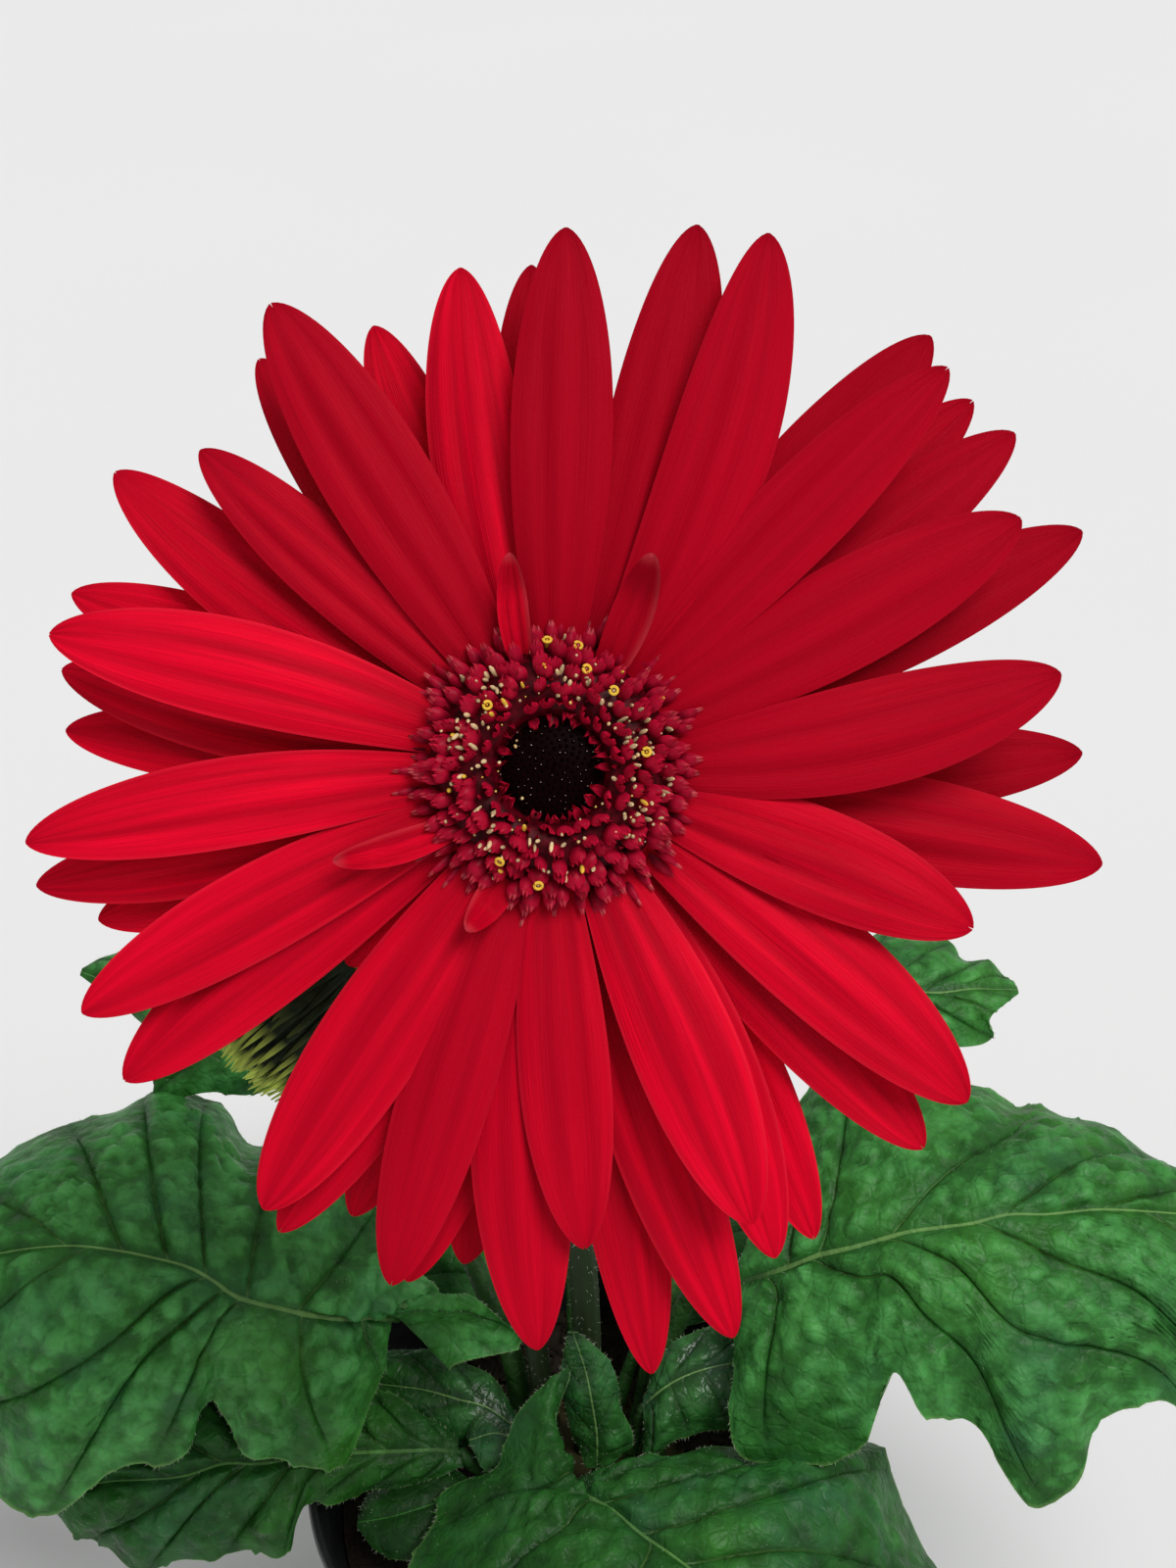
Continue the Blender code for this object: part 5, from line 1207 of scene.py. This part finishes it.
def vein_grid(pairs, last, columns, density):
    """Rows of a half blade that run along its veins.

    Gives each place's row, and for each row its share of the way to the next vein and the gap it lies in."""
    t = np.linspace(0, 1, columns)
    pairs = [(0, 0), *sorted(pairs, key=lambda p: p[1]), (last, last)]
    lines = np.array([leave + (meet - leave) * t**0.8 for leave, meet in pairs])
    lines[1:-1] = np.clip(lines[1:-1], 0.05, last - 0.05)
    rows, shares, gaps = [], [], []
    for k, (low, high) in enumerate(zip(lines[:-1], lines[1:])):
        steps = max(6, round(density * (high - low).max()))
        even = np.arange(steps + (k == len(lines) - 2)) / steps
        share = 0.35 * even + 0.65 * (0.5 - 0.5 * np.cos(math.pi * even))
        rows.append(low + (high - low) * share[:, None])
        shares.append(share)
        gaps.append(np.full(len(share), k))
    return np.concatenate(rows), np.concatenate(shares), np.concatenate(gaps)


def to_vein(points, gap):
    """How far each place of a half blade lies from the nearest vein of its gap."""
    steps = np.linalg.norm(np.diff(points, axis=0, prepend=points[:1]), axis=-1)
    reached = np.cumsum(steps, axis=0)
    away = np.empty_like(reached)
    for k in range(gap.max() + 1):
        rows = np.flatnonzero(gap == k)
        after = min(rows[-1] + 1, len(gap) - 1)
        away[rows] = np.minimum(reached[rows] - reached[rows[0]], reached[after] - reached[rows])
    return away


def sampled(points, value):
    """A value, or a vector, at each place of a grid."""
    values = np.array([value(Vector(p)) for p in points.reshape(-1, 3)])
    return values.reshape(*points.shape[:2], *values.shape[1:])


def cell_edge(place):
    """How far a place lies from the edge of an irregular cell, 0 at the edge."""
    near = noise.voronoi(place)[0]
    return near[1] - near[0]


def blade_rows(spec):
    """The rows of a blade, each with its points of the left margin, the rib and the right margin."""
    return np.array(spec["rows"], float).reshape(-1, 3, 3) * MM


def half_blade(name, which, spec, settings):
    """One half of a blade, 0 on the left and 1 on the right: its places, its ways out and its looks."""
    rows = blade_rows(spec)
    seed = sum(ord(c) for c in name)
    size = SMALL if len(rows) < SMALL_ROWS else LARGE
    last = len(rows) - 1
    margin, rib = (spline(rows[:, k], FINE) for k in (2 * which, 1))
    row_reach = np.linalg.norm(rows[:, 2 * which] - rows[:, 1], axis=1)
    pairs = VEINS[name][which] if name in VEINS else vein_rows(row_reach)
    u, share, gap = vein_grid(pairs, last, size["columns"], size["density"])
    t = np.linspace(0, 1, u.shape[1])

    # The smooth blade: a curve from the rib through a raised middle to the margin
    out = unit(np.cross(spline(rows[:, 2] - rows[:, 0], FINE), rows[-1, 1] - rows[0, 1]))
    reach = np.linalg.norm(margin - rib, axis=1)
    middle = (rib + margin) / 2 + out * (CAMBER * reach)[:, None]
    for row, shift in BENDS.get((name, which), ()):
        near = np.exp(-(((np.arange(len(middle)) / FINE - row) / 0.7) ** 2))
        middle = middle + near[:, None] * np.array(shift) * MM
    at = u * FINE
    a, b, c = ((1 - t) * (1 - 2 * t), 4 * t * (1 - t), t * (2 * t - 1))
    points = pick(rib, at) * a[:, None] + pick(middle, at) * b[:, None] + pick(margin, at) * c[:, None]

    # The margin's teeth
    reach = pick(reach[:, None], at)[..., 0]
    wander = np.array([noise.noise(Vector((seed, 3.1 * which, x * 0.9))) for x in u[:, -1]])[:, None]
    tooth = np.maximum(np.sin(TAU * (MARGIN_TEETH * u + wander + 0.37 * which)), 0) ** 6
    ahead = unit(pick(margin, at) - pick(rib, at))
    shift = size["tooth"] * tooth * np.minimum(1, reach / (9 * MM)) * ramp(t, 0.84, 1.0)
    points = points + ahead * shift[..., None]

    # The quilting between the veins
    away = to_vein(points, gap)
    body = np.minimum(1, reach / FULL_REACH)
    open_rib = ramp(t * reach, 0.0, QUILT_START)
    inside = 1 - 0.85 * ramp(t, 0.72, 1.0)
    pale = (1 - np.abs(2 * share - 1) ** 3.4)[:, None] * open_rib
    puff = pale * inside
    crease = np.exp(-((away / CREASE_WIDTH) ** 2)) * open_rib * inside
    noise.seed_set(NOISE_SEED)
    warp = sampled(points, lambda place: noise.noise_vector(place * WARP_SCALE)[:])
    cells = sampled(points + warp * WARP, lambda place: cell_edge(place * CELL_SCALE))
    net = ramp(cells, 0.0, 0.50) * open_rib
    lumps = sampled(points, lambda place: noise.noise(place * LUMP_SCALE))
    quilt = settings.quilt_height * size["quilt"]
    height = quilt * body * (0.62 * puff - 0.20 * crease + 0.40 * (net - 0.6) * (0.35 + puff) * inside)
    height = height + LUMP_HEIGHT * lumps * open_rib
    height = height + MARGIN_WAVE * np.sin(TAU * 0.62 * u + seed) * t**3 * body
    height = height * ramp(u, -0.2, 0.8) * ramp(last - u, -0.1, 0.7)
    around = np.cross(np.gradient(points, axis=1), np.gradient(points, axis=0))
    normal = unit(around) * (1 if which else -1)
    points = points + normal * height[..., None]

    vein = np.exp(-((away / VEIN_WIDTH) ** 2)) * (1 - ramp(t, 0.15, 0.6)) * body * size["vein"]
    # The blade's painted light, carried in green: lighter on the puffs and the cells, painted shade in the
    # creases
    level = 0.32 + 0.36 * pale + 0.24 * net * (0.4 + 0.6 * pale) - 0.12 * crease + 0.12 * lumps
    look = np.stack([vein, np.clip(level, 0, 1), np.broadcast_to(t, vein.shape), 0 * vein], axis=-1)
    return points, normal, look


def leaf_stalk(spec):
    """A leaf's stalk and midrib: its line, each point's radius, and how far along the blade each point is."""
    rows = blade_rows(spec)
    young = len(rows) < YOUNG_ROWS
    radius, azimuth = spec["foot"]
    rib = spline(rows[:, 1], 6)
    down = unit(np.cross(rows[-1, 1] - rows[0, 1], rows[:, 2] - rows[:, 0]).sum(axis=0))
    bends = [np.array(p) * MM for p in spec["via"]]
    start, out = socket_line(polar(radius * MM, azimuth)[:2], [*bends, rib[0]][0])
    thick = YOUNG_STALK_RADIUS if young else STALK_RADIUS
    on = np.linspace(0, 1, len(rib))
    rib_radius = np.maximum(0.36 * thick * (1 - on) ** 0.8, 0.18 * MM)
    lowered = rib + down * (rib_radius - RIB_PROUD)[:, None]
    stalk = spaced(spline([start, out, *bends, lowered[0]], 12), 60)[:-1]
    taper = thick * (1 - 0.38 * np.linspace(0, 1, len(stalk)) ** 2)
    along = np.concatenate([np.zeros(len(stalk)), on])
    return np.concatenate([stalk, lowered]), np.concatenate([taper, rib_radius]), along


def build_leaves(settings):
    """Every leaf: a quilted blade on its stalk."""
    old = leaf_finish("leaf_quilted_green", settings, settings.leaf_colour, 0.45, 0.2, 1.0)
    fresh = leaf_finish("leaf_young_glossy", settings, settings.young_leaf_colour, 0.30, 0.35, 0.3)
    for name, spec in LEAVES.items():
        shape = Shape()
        painted_light = LEAF_PAINTED_LIGHT.get(name, 1.0)
        for which in range(2):
            points, normal, look = half_blade(name, which, spec, settings)
            # The leaf's painted light and shade scale its blade's painted light level
            look[..., 1] *= painted_light
            under = look.copy()
            under[..., 0] = np.minimum(1, look[..., 0] * 1.6)
            under[..., 3] = 1
            shape.sheet(points, points - normal * LEAF_THICK, look, under)
        line, radius, along = leaf_stalk(spec)
        look = np.zeros((len(line), 4))
        # The rib's paleness is dimmed with the leaf's painted shade
        look[:, 0] = min(painted_light, 1) * (0.08 + 0.5 * ramp(along, 0.0, 0.12))
        look[:, 1] = 0.12 + 0.4 * ramp(along, 0.0, 0.2)
        look[:, 2] = 0.4
        left, _, right = blade_rows(spec)[0]
        shape.tube(line, radius, 14, look, right - left)
        slot = "leaf_young" if name.startswith("leaf_young") else "leaf_green"
        finish = fresh if slot == "leaf_young" else old
        shape.piece(name.replace("leaf_", "blade_"), finish, slot, (name,))


def build_hairs(settings):
    """Fine pale hairs: on leaf margins and blades, and on the flower stalks."""
    chance = np.random.default_rng(SEEDS["hairs"])
    length = settings.hair_length
    shape = Shape()
    for name, spec in LEAVES.items():
        for which in range(2):
            points, normal, _ = half_blade(name, which, spec, settings)
            margin = points[:, -1]
            reached = np.concatenate([[0], np.cumsum(np.linalg.norm(np.diff(margin, axis=0), axis=1))])
            count = int(reached[-1] / HAIR_SPACING)
            low = np.searchsorted(reached, chance.uniform(0, reached[-1], count)) - 1
            low = np.clip(low, 0, len(margin) - 2)
            root = margin[low] + (margin[low + 1] - margin[low]) * chance.uniform(0, 1, (count, 1))
            way = unit(margin[low] - points[low, -2]) + 0.5 * normal[low, -1]
            way = unit(way + chance.normal(0, 0.45, (count, 3)))
            tip = root + way * length * chance.uniform(0.25, 0.75, (count, 1))
            shape.spikes(root, tip, MARGIN_HAIR, HAIR_LOOK)
            count = int(BLADE_HAIRS * points[..., 0].size)
            i = chance.integers(2, points.shape[0] - 2, count)
            j = chance.integers(0, points.shape[1] - 1, count)
            root = points[i, j]
            way = unit(normal[i, j] + chance.normal(0, 0.5, (count, 3)))
            shape.spikes(root, root + way * length * 0.4, BLADE_HAIR, HAIR_LOOK)
    for _, _, line, radius in scapes():
        at = chance.uniform(0.03, 0.97, SCAPE_HAIRS) * (len(line) - 1)
        low = at.astype(int)
        _, side, up = across(line, (1, 0, 0))
        angle = chance.uniform(0, TAU, SCAPE_HAIRS)[:, None]
        way = side[low] * np.cos(angle) + up[low] * np.sin(angle)
        root = line[low] + way * radius * 0.9
        way = unit(way + 0.35 * chance.normal(0, 1, (SCAPE_HAIRS, 3)))
        tip = root + way * length * chance.uniform(0.3, 0.9, (SCAPE_HAIRS, 1))
        shape.spikes(root, tip, SCAPE_HAIR, HAIR_LOOK)
    pale = settings.hair_colour
    shape.piece("hairs", grain_finish("pale_hairs", shade(pale, 0.7), pale, 0.5, pale))


def build_crown(settings):
    """The short crown: a scaly mound of old leaf bases, with woolly fibres between the stalks."""
    chance = random.Random(SEEDS["crown"])
    shape = Shape()
    shape.turned(np.array(CROWN_PROFILE) * MM, 48, (0.3, 0, 0, 0))
    for k in range(CROWN_SCALES):
        azimuth = SCALE_TURN * k
        radius = 4 + 13.2 * math.sqrt(k / CROWN_SCALES)
        foot = polar(radius * MM, azimuth, 86.2 * MM)
        height = chance.uniform(1.5, 4.5) * MM
        lean = unit(polar(chance.uniform(0.2, 0.7), azimuth, 1.0))
        width = chance.uniform(0.7, 1.5) * MM
        look = (chance.random(), 0.4 * chance.random(), 0, 0)
        shape.stub(foot, lean, height, width * np.array((1.0, 0.95, 0.75, 0.45, 0.08)), 7, look)
    for _ in range(CROWN_FIBRES):
        azimuth = chance.uniform(0, 360)
        foot = polar(chance.uniform(2, 17.5) * MM, azimuth, 86.5 * MM)
        way = polar(chance.uniform(-0.4, 0.9), azimuth + chance.uniform(-60, 60), 0.8)
        tip = foot + unit(way) * chance.uniform(2, 5) * MM
        shape.spikes(foot[None], tip[None], 0.07 * MM, (0.9, 0.6, 0, 0))
    dark = settings.crown_colour
    finish = grain_finish("crown_scales", shade(dark, 0.35), dark, 0.75, shade(dark, 2.2))
    shape.piece("root_crown", finish, "crown", ("crown",))


def soil_height(x, y):
    """Height of the soil's surface at this place."""
    radius = math.hypot(x, y)
    share = np.clip((radius - CROWN_RADIUS) / (RIM_RADIUS - CROWN_RADIUS - 4 * MM), 0, 1)
    rough = noise.fractal(Vector((x, y, 0.3)) * 220, 0.8, 2.1, 4)
    return SOIL_TOP - SOIL_SWELL * share**2 + 0.55 * MM * rough


def build_soil(settings):
    """Peat with a rough surface, and loose crumbs and fibres on it."""
    chance = random.Random(SEEDS["soil"])
    shoulder = SOIL_TOP - SOIL_SWELL
    edge = BASE_RADIUS - WALL + DRAFT * shoulder - CLEARANCE
    foot = BASE_RADIUS - WALL + DRAFT * FLOOR - CLEARANCE
    rings = [(foot, FLOOR + CLEARANCE), (edge, shoulder - 1.2 * MM)]
    rings += [(edge + (CROWN_RADIUS - edge) * k / SOIL_RINGS, SOIL_TOP) for k in range(SOIL_RINGS + 1)]
    angle = np.linspace(0, TAU, SOIL_SIDES, endpoint=False)
    points = np.array([[(r * math.cos(a), r * math.sin(a), z) for a in angle] for r, z in rings])
    for ring in points[2:]:
        for point in ring:
            point[2] = soil_height(point[0], point[1])
    shape = Shape()
    shape.rings(points, (0.5, 0, 0, 0))
    for k in range(CRUMBS):
        radius = math.sqrt(chance.uniform(CROWN_RADIUS**2, (edge - 1.5 * MM) ** 2))
        place = polar(radius, chance.uniform(0, 360))
        size = chance.uniform(0.35, 1.0) * MM * (1.9 if k % BIG_CRUMB_EVERY == 0 else 1)
        place[2] = soil_height(place[0], place[1]) + 0.25 * size
        sizes = (size, size * chance.uniform(0.5, 1), size * 0.6)
        shape.lump(place, sizes, chance, (chance.random(), 0, 0, 0), 0.35)
    bow = np.array((0, 0, 0.35 * MM))
    for _ in range(SOIL_FIBRES):
        place = polar(chance.uniform(19, 42) * MM, chance.uniform(0, 360))
        place[2] = soil_height(place[0], place[1]) + 0.35 * MM
        way = polar(1, chance.uniform(0, 360)) * chance.uniform(1.5, 4) * MM
        line = np.array([place - way, place + bow, place + way])
        shape.tube(spaced(spline(line, 4), 6), np.full(6, 0.11 * MM), 5, (chance.random(), 0, 0, 0))
    shape.piece("soil", soil_finish(settings), "potting_mix", ("potting_mix",))


def build_pot(settings):
    """The nursery pot: a tapered wall, a stepped rim with a rolled lip, a recessed base and drain holes."""
    shoulder = POT_HEIGHT - RIM_BAND
    outer = BASE_RADIUS + DRAFT * shoulder
    top = POT_HEIGHT
    profile = [
        (0.0, 0.0),
        (BASE_RADIUS - 1.2 * MM, 0.0),
        (BASE_RADIUS - 0.3 * MM, 0.3 * MM),
        (BASE_RADIUS, 1.2 * MM),
        (outer - 0.1 * MM, shoulder - 1.0 * MM),
        (outer, shoulder),
        (outer + RIM_STEP - 0.5 * MM, shoulder + 0.1 * MM),
        (outer + RIM_STEP, shoulder + 0.6 * MM),
        (RIM_RADIUS - 0.6 * MM, top - 2.6 * MM),
        (RIM_RADIUS, top - 2.0 * MM),
        (RIM_RADIUS, top - 0.8 * MM),
        (RIM_RADIUS - 0.3 * MM, top - 0.2 * MM),
        (RIM_RADIUS - 0.8 * MM, top),
        (RIM_RADIUS - 1.3 * MM, top - 0.2 * MM),
        (RIM_RADIUS - WALL, top - 0.8 * MM),
        (outer + RIM_STEP - WALL, shoulder + 2.4 * MM),
        (outer - WALL, shoulder),
        (BASE_RADIUS - WALL + DRAFT * FLOOR, FLOOR),
        (0.0, FLOOR),
    ]
    shape = Shape()
    shape.turned(profile, POT_SIDES, (0, 0, 0, 0))
    pot = shape.piece("nursery_pot", pot_finish(settings), "pot_plastic", ("pot",))
    holes = bpy.data.collections.new("drain_holes")
    for k in range(DRAIN_HOLES):
        tool = bmesh.new()
        size = {"radius1": DRAIN_RADIUS, "radius2": DRAIN_RADIUS, "depth": 8 * MM}
        bmesh.ops.create_cone(tool, cap_ends=True, segments=32, **size)
        mesh = bpy.data.meshes.new("drain")
        tool.to_mesh(mesh)
        tool.free()
        made = bpy.data.objects.new("drain", mesh)
        made.location = polar(DRAIN_RING, 360 * k / DRAIN_HOLES + 30)
        holes.objects.link(made)
    bpy.context.scene.collection.children.link(holes)
    cut = pot.modifiers.new("drains", "BOOLEAN")
    cut.operand_type = "COLLECTION"
    cut.collection = holes
    graph = bpy.context.evaluated_depsgraph_get()
    result = bpy.data.meshes.new_from_object(pot.evaluated_get(graph))
    pot.modifiers.clear()
    pot.data = result
    for made in list(holes.objects):
        bpy.data.objects.remove(made)
    bpy.data.collections.remove(holes)


def sun_light(name, heading, strength, spread):
    """A soft light of even strength that comes along this heading."""
    light = bpy.data.lights.new(name, "SUN")
    light.energy = strength
    light.angle = spread
    made = bpy.data.objects.new(name, light)
    made.rotation_euler = Vector(heading).to_track_quat("-Z", "Y").to_euler()
    bpy.context.scene.collection.objects.link(made)


def build_stage(settings):
    """A pale floor, soft light from above and in front, and the camera."""
    half = settings.floor_size / 2
    mesh = bpy.data.meshes.new("floor")
    corners = [(-half, -half, 0), (half, -half, 0), (half, half, 0), (-half, half, 0)]
    mesh.from_pydata(corners, [], [(0, 1, 2, 3)])
    mesh.materials.append(floor_finish(settings))
    floor = bpy.data.objects.new("floor", mesh)
    bpy.context.scene.collection.objects.link(floor)

    world = bpy.data.worlds.new("studio")
    world.use_nodes = True
    fill = world.node_tree.nodes["Background"].inputs
    fill["Color"].default_value = (1, 1, 1, 1)
    fill["Strength"].default_value = settings.fill_strength
    bpy.context.scene.world = world
    sun_light("key", (-0.42, 0.36, -1.0), settings.key_strength, settings.key_spread)

    camera = bpy.data.cameras.new("camera")
    camera.sensor_fit = "VERTICAL"
    camera.sensor_height = 32
    camera.lens = camera.sensor_height * VIEW_DISTANCE / settings.frame_height
    camera.clip_start = 0.01
    camera.clip_end = 50
    made = bpy.data.objects.new("camera", camera)
    made.location = np.array(settings.camera_place)
    made.rotation_euler = (math.pi / 2 - BLOOM_LIFT, 0, 0)
    bpy.context.scene.collection.objects.link(made)
    bpy.context.scene.camera = made
    bpy.context.scene.view_settings.view_transform = "Standard"


def colour_value(name, description, default):
    """A setting for a colour."""
    return bpy.props.FloatVectorProperty(
        name=name, description=description, default=default, subtype="COLOR", size=3, min=0, max=1
    )


def length_value(name, description, default):
    """A setting for a length in metres."""
    return bpy.props.FloatProperty(name=name, description=description, default=default, unit="LENGTH", min=0)


class GerberaBloomSettings(bpy.types.PropertyGroup):
    petal_thickness: length_value("Petal thickness", "Thickness of a ray petal in its middle", 0.45 * MM)
    groove_depth: length_value("Groove depth", "Depth of the two grooves of a ray petal", 0.9 * MM)
    petal_colour: colour_value("Petals", "Colour of the ray petals", (0.92, 0.0012, 0.026))
    # Colour of the painted highlight along the petals' edges
    petal_edge_highlight_colour: colour_value("Petal edges", "Colour of the petals' edges", (0.90, 0.03, 0.06))
    petal_back_colour: colour_value("Petal backs", "Colour of the petals' backs", (0.62, 0.05, 0.07))
    floret_colour: colour_value("Florets", "Colour of the ring of florets", (0.40, 0.004, 0.026))
    floret_tip_colour: colour_value("Floret tips", "Colour of the outer florets' tips", (0.66, 0.14, 0.15))
    anther_colour: colour_value("Anthers", "Colour of the anthers", (0.90, 0.66, 0.36))
    pollen_colour: colour_value("Pollen", "Colour of the ripe anthers", (0.90, 0.56, 0.06))
    eye_colour: colour_value("Eye", "Colour of the unopened florets", (0.012, 0.0015, 0.002))
    bract_colour: colour_value("Bracts", "Colour of the bracts", (0.014, 0.026, 0.009))
    bract_tip_colour: colour_value("Bract tips", "Colour of the bracts' free tips", (0.52, 0.66, 0.10))


class GerberaPlantSettings(bpy.types.PropertyGroup):
    quilt_height: length_value("Quilt height", "How far a leaf puffs up between its veins", 1.9 * MM)
    hair_length: length_value("Hair length", "Length of the longest hairs", 1.1 * MM)
    leaf_colour: colour_value("Leaves", "Colour of the leaves", (0.025, 0.150, 0.020))
    young_leaf_colour: colour_value("Young leaves", "Colour of the young leaves", (0.018, 0.095, 0.016))
    # Colour of the painted highlights on a leaf's puffs
    leaf_puff_highlight_colour: colour_value("Leaf puffs", "Colour of a leaf's raised parts", (0.076, 0.325, 0.076))
    # Colour of the painted bluish sheen on the leaves
    leaf_sheen_colour: colour_value("Leaf bloom", "Colour where a leaf looks bluish", (0.050, 0.18, 0.100))
    leaf_yellow_colour: colour_value("Leaf light", "Colour where a leaf is yellower", (0.065, 0.29, 0.022))
    leaf_under_colour: colour_value("Leaf backs", "Colour of the leaves' backs", (0.13, 0.27, 0.10))
    vein_colour: colour_value("Veins", "Colour of ribs and veins", (0.22, 0.40, 0.12))
    hair_colour: colour_value("Hairs", "Colour of the hairs", (0.62, 0.72, 0.52))
    stem_colour: colour_value("Stalks", "Colour of the flower stalks", (0.12, 0.30, 0.06))
    stem_foot_colour: colour_value("Stalk feet", "Colour of the flower stalks' feet", (0.012, 0.018, 0.007))
    crown_colour: colour_value("Crown", "Colour of the crown", (0.10, 0.09, 0.035))


class GerberaPotSettings(bpy.types.PropertyGroup):
    pot_colour: colour_value("Pot", "Colour of the pot", (0.010, 0.011, 0.012))
    soil_colour: colour_value("Soil", "Colour of the potting mix", (0.030, 0.018, 0.011))


class GerberaStageSettings(bpy.types.PropertyGroup):
    floor_size: length_value("Floor size", "Width of the floor", 12.0)
    frame_height: length_value("Frame height", "Height of the picture at the bloom", 171.36 * MM)
    camera_place: bpy.props.FloatVectorProperty(
        name="Camera",
        description="Where the camera is",
        default=(0.00046, -0.2302, 0.3977),
        subtype="TRANSLATION",
    )
    floor_colour: colour_value("Floor", "Colour of the floor", (0.82, 0.82, 0.82))
    fill_strength: bpy.props.FloatProperty(
        name="Fill",
        description="Strength of the light all round",
        default=0.41,
    )
    key_strength: bpy.props.FloatProperty(
        name="Key light",
        description="Strength of the key light",
        default=2.2,
    )
    key_spread: bpy.props.FloatProperty(
        name="Key spread",
        description="How wide the key light's source looks",
        default=0.55,
        subtype="ANGLE",
    )


class GERBERA_OT_petals(bpy.types.Operator):
    """Makes the ray petals"""

    bl_idname = "gerbera.petals"
    bl_label = "Ray petals"

    def execute(self, context):
        build_petals(context.scene.gerbera_bloom)
        return {"FINISHED"}


class GERBERA_OT_florets(bpy.types.Operator):
    """Makes the ring of trans florets"""

    bl_idname = "gerbera.florets"
    bl_label = "Florets"

    def execute(self, context):
        build_florets(context.scene.gerbera_bloom)
        return {"FINISHED"}


class GERBERA_OT_anthers(bpy.types.Operator):
    """Makes the anthers and loose pollen"""

    bl_idname = "gerbera.anthers"
    bl_label = "Anthers"

    def execute(self, context):
        build_anthers(context.scene.gerbera_bloom)
        return {"FINISHED"}


class GERBERA_OT_eye(bpy.types.Operator):
    """Makes the dark button in the middle of the bloom"""

    bl_idname = "gerbera.eye"
    bl_label = "Eye"

    def execute(self, context):
        build_eye(context.scene.gerbera_bloom)
        return {"FINISHED"}


class GERBERA_OT_involucre(bpy.types.Operator):
    """Makes the cup of bracts behind the bloom"""

    bl_idname = "gerbera.involucre"
    bl_label = "Involucre"

    def execute(self, context):
        build_involucre(context.scene.gerbera_bloom)
        return {"FINISHED"}


class GERBERA_OT_bud(bpy.types.Operator):
    """Makes the closed bud"""

    bl_idname = "gerbera.bud"
    bl_label = "Bud"

    def execute(self, context):
        build_bud(context.scene.gerbera_bloom)
        return {"FINISHED"}


class GERBERA_OT_scapes(bpy.types.Operator):
    """Makes the two flower stalks"""

    bl_idname = "gerbera.scapes"
    bl_label = "Flower stalks"

    def execute(self, context):
        build_scapes(context.scene.gerbera_plant)
        return {"FINISHED"}


class GERBERA_OT_leaves(bpy.types.Operator):
    """Makes every leaf"""

    bl_idname = "gerbera.leaves"
    bl_label = "Leaves"

    def execute(self, context):
        build_leaves(context.scene.gerbera_plant)
        return {"FINISHED"}


class GERBERA_OT_hairs(bpy.types.Operator):
    """Makes the hairs of leaves and stalks"""

    bl_idname = "gerbera.hairs"
    bl_label = "Hairs"

    def execute(self, context):
        build_hairs(context.scene.gerbera_plant)
        return {"FINISHED"}


class GERBERA_OT_crown(bpy.types.Operator):
    """Makes the root crown"""

    bl_idname = "gerbera.crown"
    bl_label = "Crown"

    def execute(self, context):
        build_crown(context.scene.gerbera_plant)
        return {"FINISHED"}


class GERBERA_OT_soil(bpy.types.Operator):
    """Makes the potting mix"""

    bl_idname = "gerbera.soil"
    bl_label = "Soil"

    def execute(self, context):
        build_soil(context.scene.gerbera_pot)
        return {"FINISHED"}


class GERBERA_OT_pot(bpy.types.Operator):
    """Makes the nursery pot"""

    bl_idname = "gerbera.pot"
    bl_label = "Pot"

    def execute(self, context):
        build_pot(context.scene.gerbera_pot)
        return {"FINISHED"}


class GERBERA_OT_stage(bpy.types.Operator):
    """Makes the floor, the lights and the camera"""

    bl_idname = "gerbera.stage"
    bl_label = "Stage"

    def execute(self, context):
        build_stage(context.scene.gerbera_stage)
        return {"FINISHED"}


GROUPS = {
    "gerbera_bloom": GerberaBloomSettings,
    "gerbera_plant": GerberaPlantSettings,
    "gerbera_pot": GerberaPotSettings,
    "gerbera_stage": GerberaStageSettings,
}
OPERATORS = (
    GERBERA_OT_stage,
    GERBERA_OT_pot,
    GERBERA_OT_soil,
    GERBERA_OT_crown,
    GERBERA_OT_leaves,
    GERBERA_OT_scapes,
    GERBERA_OT_involucre,
    GERBERA_OT_petals,
    GERBERA_OT_florets,
    GERBERA_OT_anthers,
    GERBERA_OT_eye,
    GERBERA_OT_bud,
    GERBERA_OT_hairs,
)


class GERBERA_PT_panel(bpy.types.Panel):
    """Lists the gerbera's pieces and their settings"""

    bl_idname = "GERBERA_PT_panel"
    bl_label = "Gerbera"
    bl_space_type = "VIEW_3D"
    bl_region_type = "UI"
    bl_category = "Gerbera"

    def draw(self, context):
        for operator in OPERATORS:
            self.layout.operator(operator.bl_idname)
        for name, group in GROUPS.items():
            box = self.layout.box()
            for value in group.__annotations__:
                box.prop(getattr(context.scene, name), value)


def register():
    for kind in (*GROUPS.values(), *OPERATORS, GERBERA_PT_panel):
        bpy.utils.register_class(kind)
    for name, group in GROUPS.items():
        setattr(bpy.types.Scene, name, bpy.props.PointerProperty(type=group))


def unregister():
    for name in GROUPS:
        delattr(bpy.types.Scene, name)
    for kind in (GERBERA_PT_panel, *reversed(OPERATORS), *reversed(GROUPS.values())):
        bpy.utils.unregister_class(kind)


def main():
    """Makes every piece and the stage."""
    register()
    for operator in OPERATORS:
        group, name = operator.bl_idname.split(".")
        getattr(getattr(bpy.ops, group), name)()
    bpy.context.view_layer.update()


if __name__ == "__main__":
    main()
